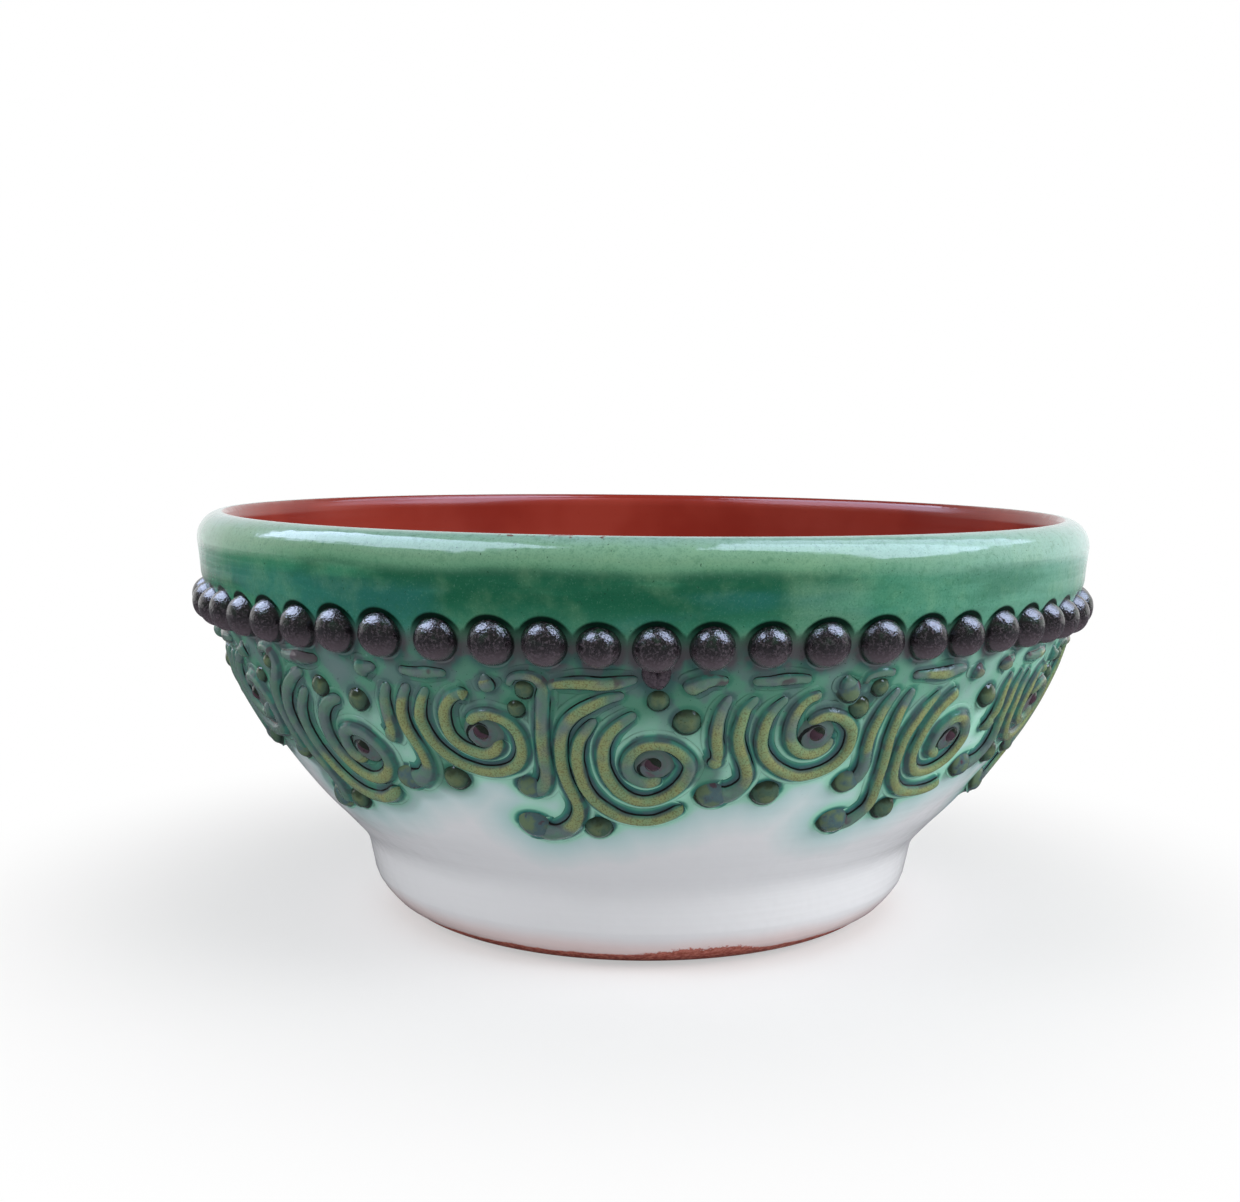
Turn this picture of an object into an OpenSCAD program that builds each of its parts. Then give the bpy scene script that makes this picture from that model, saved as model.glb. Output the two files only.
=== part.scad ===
// A thrown earthenware bowl with a white slip coat, a ring of slip pearls and a trailed scroll band.
// The origin is the middle of the foot, on the surface that the bowl stands on.

/* [Bowl] */
// Outer width across the lip
rim_d = 220; // [200:1:240]
// Height from the foot face to the top of the lip
bowl_h = 99.5; // [90:0.5:112]
// Thickness of the clay wall, measured level
wall_t = 7; // [5:0.5:7.5]
// Thickness of the rolled lip
lip_t = 7.6; // [7.2:0.1:9]
// Height of the round on the outside of the lip
lip_round_h = 5.8; // [4:0.2:7]
// Thickness of the floor above the foot recess
floor_t = 9; // [6:0.5:11]

/* [Foot] */
// Outer width of the flat ring that the bowl stands on
foot_face_d = 112; // [104:1:120]
// Greatest width of the foot
foot_d = 136.6; // [130:0.2:140]
// Height of the widest place on the foot
foot_h = 14; // [12:0.5:16]
// Width of the standing ring
foot_ring_w = 9; // [6:0.5:14]
// Depth of the recess under the floor
foot_recess_h = 4; // [2:0.5:6]

/* [Slip coat] */
// Thickness of the slip and glaze on the outside
coat_t = 0.5; // [0.3:0.1:0.8]
// Height of the bare clay edge below the coat
bare_edge_h = 3; // [2:0.2:4]
// How far the bare clay edge flares out from the standing ring
bare_edge_w = 5.9; // [4:0.1:7]

/* [Pearl row] */
// Number of pearls round the bowl
pearl_count = 60; // [40:4:64]
// Width of a pearl where it sits on the wall
pearl_d = 9.8; // [8:0.1:10.2]
// How far a pearl stands off the wall
pearl_rise = 3.9; // [2.5:0.1:4.5]
// Drop from the top of the lip to the middle of the row
row_drop = 20.3; // [17:0.1:24]
// How much narrower than the lip the clay wall is there, on each side
row_inset = 3.2; // [1:0.1:6]
// Lean of the wall under the row, from upright
row_lean = 17.6; // [10:0.2:22]

/* [Scroll band] */
// Height of the band that the trailed lines fill
scroll_h = 40; // [38:0.5:42]
// Space between the pearls and the band
scroll_gap = 0.3; // [0:0.1:1]
// Width of a trailed line
line_w = 2.6; // [2:0.1:2.7]
// How far a trailed line stands off the coat
line_rise = 1.7; // [1:0.1:2.4]
// Width of the middle-sized slip dots
dot_d = 4.8; // [3:0.1:5]
// How far a slip dot stands off the coat
dot_rise = 1.9; // [1:0.1:2]

/* [Hidden] */
$fn = 96;
LARGE_NAMES = [for (i = [1:9]) str("large_scroll_", i)];
SMALL_NAMES = [for (i = [1:9]) str("small_scroll_", i)];

// Overrun of every cutting solid
over = 1;
// Space under a slip line, dot or pearl, because their undersides are flat and the wall is round
seat = 0.1;
// Extra length of the straight stretch of wall above and below the pearls
row_margin = 1.3;
// Depth of the round on the outside of the lip, and drop of the round on its inside
lip_round_w = 5.2;
lip_drop = 3.6;
// Width of the nearly flat floor, and pull of the haunch above it
floor_flat_d = 124;
haunch_pull = 15;
// Heights between which the inner wall runs alongside the outer one, as shares of the bowl's height
inner_top_share = 0.89;
inner_low_share = 0.45;

// Steps that smooth each stretch of an outline
steps = 3;
arc_steps = 6;
inner_steps = 10;

// Bare edge under the coat: shares of its flare and of its height
edge_shares = [0.56, 0.37];
// Foot from the bare edge to its widest place: shares of the spread and of the rise
foot_shares = [[0.42, 0.24], [0.83, 0.58]];
// Wall from the widest place of the foot to the pearl row: shares of the spread and of the rise
wall_shares = [[0.045, 0.10], [0.18, 0.20], [0.355, 0.315], [0.545, 0.465], [0.73, 0.635], [0.87, 0.80]];
// Neck between the pearl row and the lip: shares of the spread and of the rise
neck_shares = [0.4, 0.5];

// Outlines are lists of [distance from the axis, height]
crown_r = rim_d / 2 - coat_t - lip_round_w;
crown_h = bowl_h - coat_t;
lip_side = [rim_d / 2 - coat_t, crown_h - lip_round_h];
row_h = bowl_h - row_drop;
seat_half = pearl_d / 2 + row_margin;
row_middle = [rim_d / 2 - row_inset, row_h];
row_dir = [sin(row_lean), cos(row_lean)];
row_bottom = row_middle - seat_half * row_dir;
row_top = row_middle + seat_half * row_dir;
face_edge = [foot_face_d / 2, 0];
edge_top = face_edge + [bare_edge_w, bare_edge_h];
foot_side = [foot_d / 2, foot_h];

function between(a, b, shares) = [a[0] + (b[0] - a[0]) * shares[0], a[1] + (b[1] - a[1]) * shares[1]];
function unit(v) = v / norm(v);
function spline_point(a, b, c, d, t) =
    (2 * b + (c - a) * t + (2 * a - 5 * b + 4 * c - d) * t * t + (3 * b - a - 3 * c + d) * t * t * t) / 2;
function spline(p) = concat(
    [for (i = [0:len(p) - 2], k = [0:steps - 1])
        spline_point(p[max(i - 1, 0)], p[i], p[i + 1], p[min(i + 2, len(p) - 1)], k / steps)],
    [p[len(p) - 1]]);
function quarter(middle, across, up, from, to) =
    [for (k = [1:arc_steps])
        let (a = from + (to - from) * k / arc_steps) middle + [across * cos(a), up * sin(a)]];
function bezier(a, b, c, d, t) =
    pow(1 - t, 3) * a + 3 * pow(1 - t, 2) * t * b + 3 * (1 - t) * t * t * c + pow(t, 3) * d;

foot_and_wall = spline(concat(
    [face_edge, between(face_edge, edge_top, edge_shares), edge_top],
    [for (s = foot_shares) between(edge_top, foot_side, s)],
    [foot_side],
    [for (s = wall_shares) between(foot_side, row_bottom, s)],
    [row_bottom]));
neck = spline([row_top, between(row_top, lip_side, neck_shares), lip_side]);
lip_outside = quarter([crown_r, lip_side[1]], lip_round_w, lip_round_h, 0, 90);
outside = concat(foot_and_wall, neck, lip_outside);

// The coat starts at the top of the bare edge, two stretches up the outline, and ends on the crown of the lip
coat_start = 2 * steps;
crown = len(outside) - 1;
function outward(i) =
    i == crown ? [0, 1] : let (along = outside[i + 1] - outside[i - 1]) unit([along[1], -along[0]]);
coat_face = [for (i = [coat_start:crown]) outside[i] + coat_t * outward(i)];
coat_back = [for (i = [crown:-1:coat_start]) outside[i]];

// Distances from the axis by height, for what sits on the coat and for the inner wall
side_count = len(foot_and_wall) + len(neck) - coat_start;
coat_by_height = [for (i = [0:side_count - 1]) [coat_face[i][1], coat_face[i][0]]];
clay_by_height = [for (i = [0:side_count + coat_start - 1]) [outside[i][1], outside[i][0]]];

lip_inner_r = rim_d / 2 - lip_t;
lip_inside = quarter([crown_r, crown_h - lip_drop], crown_r - lip_inner_r, lip_drop, 90, 180);
inner_wall = [for (k = [0:inner_steps])
    let (z = bowl_h * (inner_top_share + (inner_low_share - inner_top_share) * k / inner_steps))
    [lookup(z, clay_by_height) - wall_t, z]];
haunch = inner_wall[inner_steps];
haunch_dir = unit(inner_wall[inner_steps] - inner_wall[inner_steps - 1]);
floor_h = foot_recess_h + floor_t;
floor_line = [for (k = [1:inner_steps])
    bezier(haunch, haunch + haunch_pull * haunch_dir, [floor_flat_d / 2, floor_h], [0, floor_h], k / inner_steps)];
recess_r = foot_face_d / 2 - foot_ring_w;
underside = [[0, foot_recess_h], [recess_r, foot_recess_h], [recess_r, 0]];

module clay_body() {
    color("#8f3a2b")
        rotate_extrude()
            polygon(concat(underside, outside, lip_inside, inner_wall, floor_line));
}

module slip_coat() {
    color("#c3d3d2")
        rotate_extrude()
            polygon(concat(coat_face, coat_back));
}

// Places on the coat, from a turn about the axis and a height
function coat_r(z) = lookup(z, coat_by_height);
function coat_lean(z) = atan2(coat_r(z + seat_half) - coat_r(z - seat_half), 2 * seat_half);
function on_coat(turn, z) = [coat_r(z) * cos(turn), coat_r(z) * sin(turn), z];
function off_coat(turn, z) =
    let (lean = coat_lean(z)) [cos(lean) * cos(turn), cos(lean) * sin(turn), -sin(lean)];

// A dome of slip that rests on the coat by its flat back
module dome(turn, z, width, rise) {
    half = width / 2;
    ball_r = (half * half + rise * rise) / (2 * rise);
    translate(on_coat(turn, z) + seat * off_coat(turn, z))
        rotate([0, 90 + coat_lean(z), turn])
            intersection() {
                translate([0, 0, rise - ball_r])
                    sphere(ball_r);
                translate([-half - over, -half - over, 0])
                    cube([2 * (half + over), 2 * (half + over), rise + over]);
            }
}

// The turn that the front of the bowl faces, and the phase of the pearl row from there
front = -90;
pearl_phase_share = 0.25;

module pearls() {
    color("#3f3a3e")
        for (i = [0:pearl_count - 1])
            dome(front + (i + pearl_phase_share) * 360 / pearl_count, row_h, pearl_d, pearl_rise);
}

// The scroll band. A point of a line is [turn, height, width]: the turn from the middle of its scroll
// as a share of one ninth of the bowl, the height as a share of the band, the width as a share of line_w.
pair_count = 9;
pair_turn = 360 / pair_count;
scroll_top = row_h - pearl_d / 2 - scroll_gap;
scroll_low = scroll_top - scroll_h;

// Large scroll, first drawing: dot cap and outer line, hooked line, rim line, spiral and crest
large_a_shares = [
    [[-0.385, 0.90, 0.7], [-0.37, 0.945, 0.75], [-0.34, 0.96, 0.8], [-0.305, 0.95, 0.85], [-0.285, 0.905, 0.9],
     [-0.29, 0.85, 1], [-0.295, 0.78, 1], [-0.30, 0.70, 1], [-0.305, 0.61, 1], [-0.305, 0.52, 1],
     [-0.305, 0.44, 1], [-0.315, 0.38, 1.1], [-0.34, 0.34, 1.3], [-0.365, 0.35, 1.5]],
    [[-0.07, 0.87, 0.8], [-0.115, 0.855, 1], [-0.16, 0.82, 1], [-0.205, 0.77, 1], [-0.235, 0.71, 1],
     [-0.25, 0.64, 1], [-0.255, 0.56, 1], [-0.255, 0.475, 1], [-0.245, 0.39, 1], [-0.23, 0.315, 1],
     [-0.22, 0.255, 1], [-0.225, 0.195, 1.1], [-0.25, 0.13, 1.25], [-0.295, 0.085, 1.45], [-0.345, 0.08, 1.8],
     [-0.385, 0.12, 2]],
    [[-0.15, 0.74, 0.8], [-0.175, 0.69, 1], [-0.195, 0.64, 1], [-0.205, 0.59, 1], [-0.21, 0.525, 1],
     [-0.205, 0.45, 1], [-0.195, 0.375, 1], [-0.17, 0.30, 1], [-0.13, 0.24, 1], [-0.085, 0.195, 1],
     [-0.03, 0.175, 1], [0.025, 0.18, 1], [0.07, 0.21, 1], [0.11, 0.255, 0.9]],
    [[-0.04, 0.775, 1], [-0.075, 0.735, 1], [-0.11, 0.68, 1], [-0.13, 0.615, 1], [-0.135, 0.545, 1],
     [-0.13, 0.47, 1], [-0.11, 0.395, 1], [-0.08, 0.335, 1], [-0.04, 0.30, 1], [0, 0.295, 1],
     [0.045, 0.32, 1], [0.085, 0.37, 1], [0.11, 0.43, 1], [0.12, 0.495, 1], [0.10, 0.555, 1],
     [0.06, 0.605, 1], [0.02, 0.62, 1], [-0.02, 0.61, 1], [-0.05, 0.57, 1], [-0.065, 0.515, 1],
     [-0.06, 0.46, 1], [-0.035, 0.42, 1], [0, 0.405, 1], [0.035, 0.43, 0.9]],
    [[-0.245, 0.945, 0.8], [-0.21, 0.93, 0.9], [-0.175, 0.945, 0.9], [-0.13, 0.935, 0.9],
     [-0.08, 0.945, 0.9], [-0.035, 0.955, 0.7]]];
// Large scroll, second drawing
large_b_shares = [
    [[-0.42, 0.90, 0.7], [-0.415, 0.94, 0.75], [-0.375, 0.96, 0.75], [-0.33, 0.95, 0.75]],
    [[-0.30, 0.865, 0.85], [-0.33, 0.80, 1], [-0.35, 0.73, 1], [-0.36, 0.655, 1], [-0.36, 0.58, 1],
     [-0.35, 0.51, 1], [-0.34, 0.435, 1.1], [-0.35, 0.38, 1.3], [-0.375, 0.36, 1.6]],
    [[-0.245, 0.855, 0.85], [-0.265, 0.80, 1], [-0.28, 0.735, 1], [-0.285, 0.665, 1], [-0.285, 0.595, 1],
     [-0.275, 0.51, 1], [-0.265, 0.425, 1], [-0.255, 0.345, 1], [-0.24, 0.265, 1], [-0.235, 0.195, 1.1],
     [-0.26, 0.13, 1.25], [-0.30, 0.09, 1.5], [-0.35, 0.11, 2]],
    [[-0.135, 0.825, 0.8], [-0.17, 0.77, 1], [-0.20, 0.705, 1], [-0.22, 0.63, 1], [-0.225, 0.56, 1],
     [-0.22, 0.485, 1], [-0.21, 0.41, 1], [-0.19, 0.345, 1], [-0.16, 0.295, 1], [-0.12, 0.255, 1],
     [-0.065, 0.235, 1], [-0.01, 0.23, 1], [0.045, 0.24, 1], [0.085, 0.27, 0.9]],
    [[-0.065, 0.825, 1.1], [-0.105, 0.775, 1.1], [-0.135, 0.705, 1], [-0.155, 0.63, 1], [-0.16, 0.56, 1],
     [-0.16, 0.485, 1], [-0.14, 0.42, 1], [-0.11, 0.375, 1], [-0.07, 0.36, 1], [-0.02, 0.37, 1],
     [0.025, 0.41, 1], [0.05, 0.47, 1], [0.06, 0.54, 1], [0.04, 0.61, 1], [0.005, 0.66, 1],
     [-0.04, 0.66, 1], [-0.075, 0.625, 1], [-0.09, 0.575, 1], [-0.09, 0.515, 1], [-0.07, 0.475, 1],
     [-0.035, 0.46, 0.9]],
    [[-0.265, 0.93, 0.85], [-0.20, 0.93, 0.9], [-0.15, 0.93, 1], [-0.10, 0.94, 1], [-0.055, 0.935, 0.8]],
    [[0.005, 0.955, 0.9], [0, 0.91, 1.2], [0, 0.87, 1.3]]];
// Large scroll, third drawing, the widest
large_c_shares = [
    [[-0.41, 0.895, 0.7], [-0.40, 0.94, 0.75], [-0.36, 0.96, 0.8], [-0.32, 0.945, 0.85], [-0.31, 0.89, 0.9],
     [-0.335, 0.82, 1], [-0.375, 0.75, 1], [-0.395, 0.67, 1], [-0.40, 0.58, 1], [-0.40, 0.49, 1],
     [-0.405, 0.42, 1.1], [-0.42, 0.37, 1.4]],
    [[-0.185, 0.865, 0.85], [-0.225, 0.84, 1], [-0.265, 0.795, 1], [-0.31, 0.725, 1], [-0.34, 0.64, 1],
     [-0.35, 0.545, 1], [-0.34, 0.45, 1], [-0.33, 0.365, 1], [-0.31, 0.285, 1], [-0.30, 0.215, 1],
     [-0.305, 0.155, 1.2], [-0.335, 0.105, 1.4], [-0.375, 0.085, 1.9]],
    [[-0.195, 0.765, 0.8], [-0.22, 0.73, 1], [-0.25, 0.665, 1], [-0.27, 0.59, 1], [-0.275, 0.50, 1],
     [-0.265, 0.41, 1], [-0.245, 0.33, 1], [-0.215, 0.255, 1], [-0.17, 0.20, 1], [-0.115, 0.17, 1],
     [-0.055, 0.17, 1], [0, 0.20, 1], [0.04, 0.245, 0.9]],
    [[-0.045, 0.745, 1], [-0.10, 0.715, 1], [-0.14, 0.65, 1], [-0.16, 0.565, 1], [-0.16, 0.47, 1],
     [-0.13, 0.375, 1], [-0.09, 0.315, 1], [-0.035, 0.295, 1], [0.02, 0.32, 1], [0.06, 0.38, 1],
     [0.07, 0.45, 1], [0.05, 0.515, 1], [0.01, 0.57, 1], [-0.04, 0.58, 1], [-0.08, 0.55, 1],
     [-0.09, 0.485, 1], [-0.075, 0.425, 1], [-0.035, 0.40, 0.9]],
    [[-0.27, 0.945, 0.8], [-0.23, 0.94, 0.9], [-0.18, 0.945, 0.9], [-0.13, 0.945, 0.9], [-0.09, 0.955, 0.7]]];
// Small scroll, first drawing: comma, two hooked lines, spiral, inner hook, crest and drip
small_a_shares = [
    [[-0.385, 0.895, 1.5], [-0.36, 0.925, 1.2], [-0.315, 0.95, 1], [-0.27, 0.94, 0.9]],
    [[-0.26, 0.865, 0.8], [-0.28, 0.805, 1], [-0.29, 0.73, 1], [-0.29, 0.645, 1], [-0.28, 0.575, 1],
     [-0.28, 0.53, 1.05], [-0.295, 0.485, 1.1]],
    [[-0.185, 0.855, 0.85], [-0.215, 0.80, 1], [-0.225, 0.735, 1], [-0.23, 0.665, 1], [-0.22, 0.595, 1],
     [-0.20, 0.525, 1], [-0.185, 0.47, 1], [-0.18, 0.415, 1], [-0.20, 0.36, 1.2], [-0.235, 0.325, 1.5],
     [-0.275, 0.325, 1.9]],
    [[-0.10, 0.85, 0.8], [-0.135, 0.795, 1], [-0.155, 0.73, 1], [-0.16, 0.655, 1], [-0.155, 0.595, 1],
     [-0.135, 0.535, 1], [-0.09, 0.47, 1], [-0.04, 0.43, 1], [0, 0.42, 1], [0.055, 0.44, 1],
     [0.095, 0.48, 1], [0.12, 0.54, 1], [0.125, 0.605, 1], [0.115, 0.675, 1], [0.08, 0.73, 1],
     [0.035, 0.755, 1], [0, 0.745, 1], [-0.025, 0.71, 0.8]],
    [[0, 0.86, 1], [-0.04, 0.84, 1], [-0.07, 0.78, 1], [-0.08, 0.70, 1], [-0.07, 0.62, 1],
     [-0.04, 0.565, 1], [0, 0.545, 1], [0.045, 0.565, 1], [0.065, 0.615, 0.9]],
    [[-0.205, 0.94, 0.85], [-0.16, 0.94, 0.9], [-0.12, 0.95, 0.9], [-0.075, 0.95, 0.9], [-0.04, 0.94, 0.8]],
    [[0.07, 0.955, 0.9], [0.07, 0.92, 1.3], [0.08, 0.88, 1.4]]];
// Small scroll, second drawing
small_b_shares = [
    [[-0.36, 0.91, 1.3], [-0.335, 0.935, 1.1], [-0.29, 0.95, 0.85]],
    [[-0.26, 0.865, 0.85], [-0.28, 0.80, 1], [-0.285, 0.73, 1], [-0.285, 0.645, 1], [-0.295, 0.585, 1.1],
     [-0.315, 0.55, 1.25]],
    [[-0.19, 0.87, 0.85], [-0.215, 0.805, 1], [-0.23, 0.73, 1], [-0.23, 0.645, 1], [-0.215, 0.57, 1],
     [-0.20, 0.50, 1], [-0.20, 0.425, 1.1], [-0.225, 0.365, 1.3], [-0.265, 0.335, 1.6], [-0.30, 0.335, 1.8]],
    [[-0.13, 0.86, 0.85], [-0.155, 0.79, 1], [-0.17, 0.705, 1], [-0.16, 0.62, 1], [-0.135, 0.545, 1],
     [-0.09, 0.48, 1], [-0.04, 0.445, 1], [0.01, 0.43, 1], [0.06, 0.44, 1], [0.105, 0.475, 1],
     [0.13, 0.535, 1], [0.135, 0.605, 1], [0.125, 0.67, 1], [0.095, 0.725, 1], [0.05, 0.75, 1],
     [0.01, 0.735, 1], [-0.02, 0.69, 0.8]],
    [[-0.005, 0.855, 1.1], [-0.05, 0.83, 1], [-0.08, 0.775, 1], [-0.09, 0.705, 1], [-0.085, 0.63, 1],
     [-0.06, 0.575, 1], [-0.02, 0.54, 1], [0.02, 0.53, 1], [0.055, 0.56, 1], [0.07, 0.61, 0.9]],
    [[-0.21, 0.945, 0.85], [-0.16, 0.94, 0.9], [-0.11, 0.945, 0.9], [-0.06, 0.945, 0.8]],
    [[0.05, 0.955, 0.9], [0.055, 0.91, 1.2], [0.065, 0.865, 1.3]]];

// Dots of each drawing: [turn, height, width], the width as a share of dot_d
large_a_dot_shares = [[-0.34, 0.885, 0.75], [0.10, 0.735, 1], [-0.165, 0.12, 1.05], [0.02, 0.845, 0.8],
    [0.01, 0.50, 0.9]];
large_b_dot_shares = [[-0.37, 0.88, 0.75], [-0.14, 0.145, 1.05], [0.10, 0.76, 1], [-0.02, 0.555, 0.9]];
large_c_dot_shares = [[-0.365, 0.88, 0.7], [-0.235, 0.11, 1.05], [-0.115, 0.80, 0.9], [0.035, 0.755, 0.95],
    [-0.01, 0.475, 0.9]];
small_a_dot_shares = [[0.125, 0.78, 0.9], [-0.105, 0.325, 1.1], [0.005, 0.645, 0.9]];
small_b_dot_shares = [[-0.115, 0.365, 1.05], [0.13, 0.78, 0.7], [0.02, 0.64, 0.9]];

// The nine scrolls of each kind, from the front and round to the right: the turn of the middle of each
// in degrees, laid out by eye as the potter did, and which drawing it follows
large_drawings = [large_a_shares, large_b_shares, large_c_shares];
large_dots = [large_a_dot_shares, large_b_dot_shares, large_c_dot_shares];
small_drawings = [small_a_shares, small_b_shares];
small_dots = [small_a_dot_shares, small_b_dot_shares];
large_picks = [0, 1, 0, 1, 0, 1, 0, 1, 2];
small_picks = [0, 1, 0, 1, 0, 1, 0, 1, 1];
large_turns = [1, 42, 81, 122, 161, 202, 241, 282, 324];
small_turns = [20, 61, 100, 141, 180, 221, 260, 300, 341];

// Half section of a line, as shares of its half width and of its rise
section_shares = [[-1, 0], [-0.72, 0.66], [0, 1], [0.72, 0.66], [1, 0]];
corners = len(section_shares);

function ring(line, i, turn) =
    let (
        last = len(line) - 1,
        at = function (k) on_coat(turn + line[k][0] * pair_turn, scroll_low + line[k][1] * scroll_h),
        off = off_coat(turn + line[i][0] * pair_turn, scroll_low + line[i][1] * scroll_h),
        along = unit(at(min(i + 1, last)) - at(max(i - 1, 0))),
        side = unit(cross(off, along)),
        half = line_w / 2 * line[i][2])
    [for (s = section_shares)
        at(i) + (seat + s[1] * line_rise * min(line[i][2], 1)) * off + s[0] * half * side];

function skin(from, rings) = concat(
    [[for (k = [corners - 1:-1:0]) from + k]],
    [for (i = [0:rings - 2], k = [0:corners - 1], half = [0, 1])
        let (a = from + i * corners + k, b = from + i * corners + (k + 1) % corners)
        half == 0 ? [a, b, b + corners] : [a, b + corners, a + corners]],
    [[for (k = [0:corners - 1]) from + (rings - 1) * corners + k]]);

// All the lines of one scroll, each a closed solid of its own
module trailed_lines(lines, turn) {
    starts = [for (k = 0, at = 0; k < len(lines); at = at + corners * len(lines[k]), k = k + 1) at];
    polyhedron(
        points = [for (line = lines, i = [0:len(line) - 1]) each ring(line, i, turn)],
        faces = [for (k = [0:len(lines) - 1]) each skin(starts[k], len(lines[k]))]);
}

module large_scroll(i) {
    color("#5f7f4f")
        trailed_lines(large_drawings[large_picks[i]], front + large_turns[i]);
}

module small_scroll(i) {
    color("#6d8f5c")
        trailed_lines(small_drawings[small_picks[i]], front + small_turns[i]);
}

module dots_of(dots, turn) {
    for (d = dots)
        dome(turn + d[0] * pair_turn, scroll_low + d[1] * scroll_h, dot_d * d[2], dot_rise * d[2]);
}

module slip_dots() {
    color("#4c5b46")
        for (i = [0:pair_count - 1]) {
            dots_of(large_dots[large_picks[i]], front + large_turns[i]);
            dots_of(small_dots[small_picks[i]], front + small_turns[i]);
        }
}

clay_body();
slip_coat();
pearls();
slip_dots();
for (i = [0:pair_count - 1]) {
    large_scroll(i);
    small_scroll(i);
}
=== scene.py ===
"""A thrown earthenware bowl: white slip, running green glaze, a ring of slip pearls and trailed scrolls."""
import math

import bpy
import numpy as np
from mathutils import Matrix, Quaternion


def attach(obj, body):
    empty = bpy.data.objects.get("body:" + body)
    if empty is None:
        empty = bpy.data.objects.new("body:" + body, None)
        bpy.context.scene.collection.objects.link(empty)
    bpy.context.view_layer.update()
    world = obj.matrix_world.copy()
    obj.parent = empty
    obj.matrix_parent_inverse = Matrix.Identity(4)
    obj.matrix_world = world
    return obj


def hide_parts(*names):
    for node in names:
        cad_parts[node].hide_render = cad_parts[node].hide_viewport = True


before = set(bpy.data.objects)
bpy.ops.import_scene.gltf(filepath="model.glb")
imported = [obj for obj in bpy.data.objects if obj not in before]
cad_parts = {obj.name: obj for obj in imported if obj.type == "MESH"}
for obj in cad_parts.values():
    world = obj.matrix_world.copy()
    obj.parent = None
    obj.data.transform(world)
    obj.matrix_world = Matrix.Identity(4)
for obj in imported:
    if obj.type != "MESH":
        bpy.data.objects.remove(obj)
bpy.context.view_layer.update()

MM = 0.001


# Wires and benches: node trees written as Python expressions

class Wire:
    """The output of a node, which adds Math nodes when it is used in an expression"""

    def __init__(self, bench, socket):
        self.bench = bench
        self.socket = socket

    def maths(self, operation, *others):
        return self.bench.add("ShaderNodeMath", {"operation": operation}, dict(enumerate((self,) + others)))

    def __add__(self, other):
        return self.maths("ADD", other)

    def __sub__(self, other):
        return self.maths("SUBTRACT", other)

    def __rsub__(self, other):
        return self.bench.add("ShaderNodeMath", {"operation": "SUBTRACT"}, {0: other, 1: self})

    def __mul__(self, other):
        return self.maths("MULTIPLY", other)

    def __truediv__(self, other):
        return self.maths("DIVIDE", other)

    def __pow__(self, other):
        return self.maths("POWER", other)

    def __gt__(self, other):
        return self.maths("GREATER_THAN", other)

    __radd__ = __add__
    __rmul__ = __mul__

    def size(self):
        return self.maths("ABSOLUTE")

    def root(self):
        return self.maths("SQRT")

    def smaller(self, other):
        return self.maths("MINIMUM", other)

    def larger(self, other):
        return self.maths("MAXIMUM", other)

    def within(self, low=0.0, high=1.0):
        return self.larger(low).smaller(high)

    def ease(self, start, end):
        """A smooth step from 0 at start to 1 at end"""
        return self.bench.add("ShaderNodeMapRange", {"interpolation_type": "SMOOTHSTEP"},
                              {0: self, 1: start, 2: end, 3: 0.0, 4: 1.0})


class Bench:
    """One node tree and the calls that add nodes to it"""

    def __init__(self, tree):
        self.tree = tree

    def add(self, kind, settings=None, inputs=None, out=0):
        """Adds a node: its settings first, then the values or links of its sockets. Returns one output."""
        node = self.tree.nodes.new(kind)
        for name, value in (settings or {}).items():
            if name == "stops":
                self.set_stops(node.color_ramp, value)
            elif name == "points":
                self.set_points(node.mapping, value)
            else:
                setattr(node, name, value)
        for key, value in (inputs or {}).items():
            socket = node.inputs[key]
            if isinstance(value, Wire):
                self.tree.links.new(value.socket, socket)
            else:
                socket.default_value = value
        if out is None:
            return node
        return Wire(self, node.outputs[out])

    def set_stops(self, ramp, stops):
        ramp.elements.remove(ramp.elements[1])
        ramp.elements[0].position, ramp.elements[0].color = stops[0][0], paint(stops[0][1])
        for place, colour in stops[1:]:
            ramp.elements.new(place).color = paint(colour)

    def set_points(self, mapping, points):
        curve = mapping.curves[0]
        mapping.use_clip = False
        curve.points[0].location, curve.points[1].location = points[0], points[-1]
        for place in points[1:-1]:
            curve.points.new(*place)
        mapping.update()

    def vector(self, operation, *parts, out=0):
        return self.add("ShaderNodeVectorMath", {"operation": operation}, dict(enumerate(parts)), out)

    def scaled(self, vector, factor):
        return self.add("ShaderNodeVectorMath", {"operation": "SCALE"}, {0: vector, 3: factor})

    def split(self, vector):
        node = self.add("ShaderNodeSeparateXYZ", None, {0: vector}, None)
        return [Wire(self, socket) for socket in node.outputs]

    def joined(self, x, y, z):
        return self.add("ShaderNodeCombineXYZ", None, {0: x, 1: y, 2: z})

    def mix(self, share, first, second):
        """A colour between two colours"""
        first, second = (c if isinstance(c, Wire) else paint(c) for c in (first, second))
        return self.add("ShaderNodeMix", {"data_type": "RGBA"}, {0: share, 6: first, 7: second}, 2)

    def ramp(self, value, stops):
        return self.add("ShaderNodeValToRGB", {"stops": stops}, {0: value})

    def noise(self, place, scale, detail=2.0, rough=0.5):
        return self.add("ShaderNodeTexNoise", None,
                        {"Vector": place, "Scale": scale, "Detail": detail, "Roughness": rough})


def paint(colour):
    """A colour written as a screen hex number, turned to the linear values that nodes take"""
    if not isinstance(colour, str):
        return colour
    parts = [int(colour[k:k + 2], 16) / 255 for k in (1, 3, 5)]
    return tuple(p / 12.92 if p <= 0.04045 else ((p + 0.055) / 1.055) ** 2.4 for p in parts) + (1.0,)


# The form of the bowl, in millimetres, as the CAD has it

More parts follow.
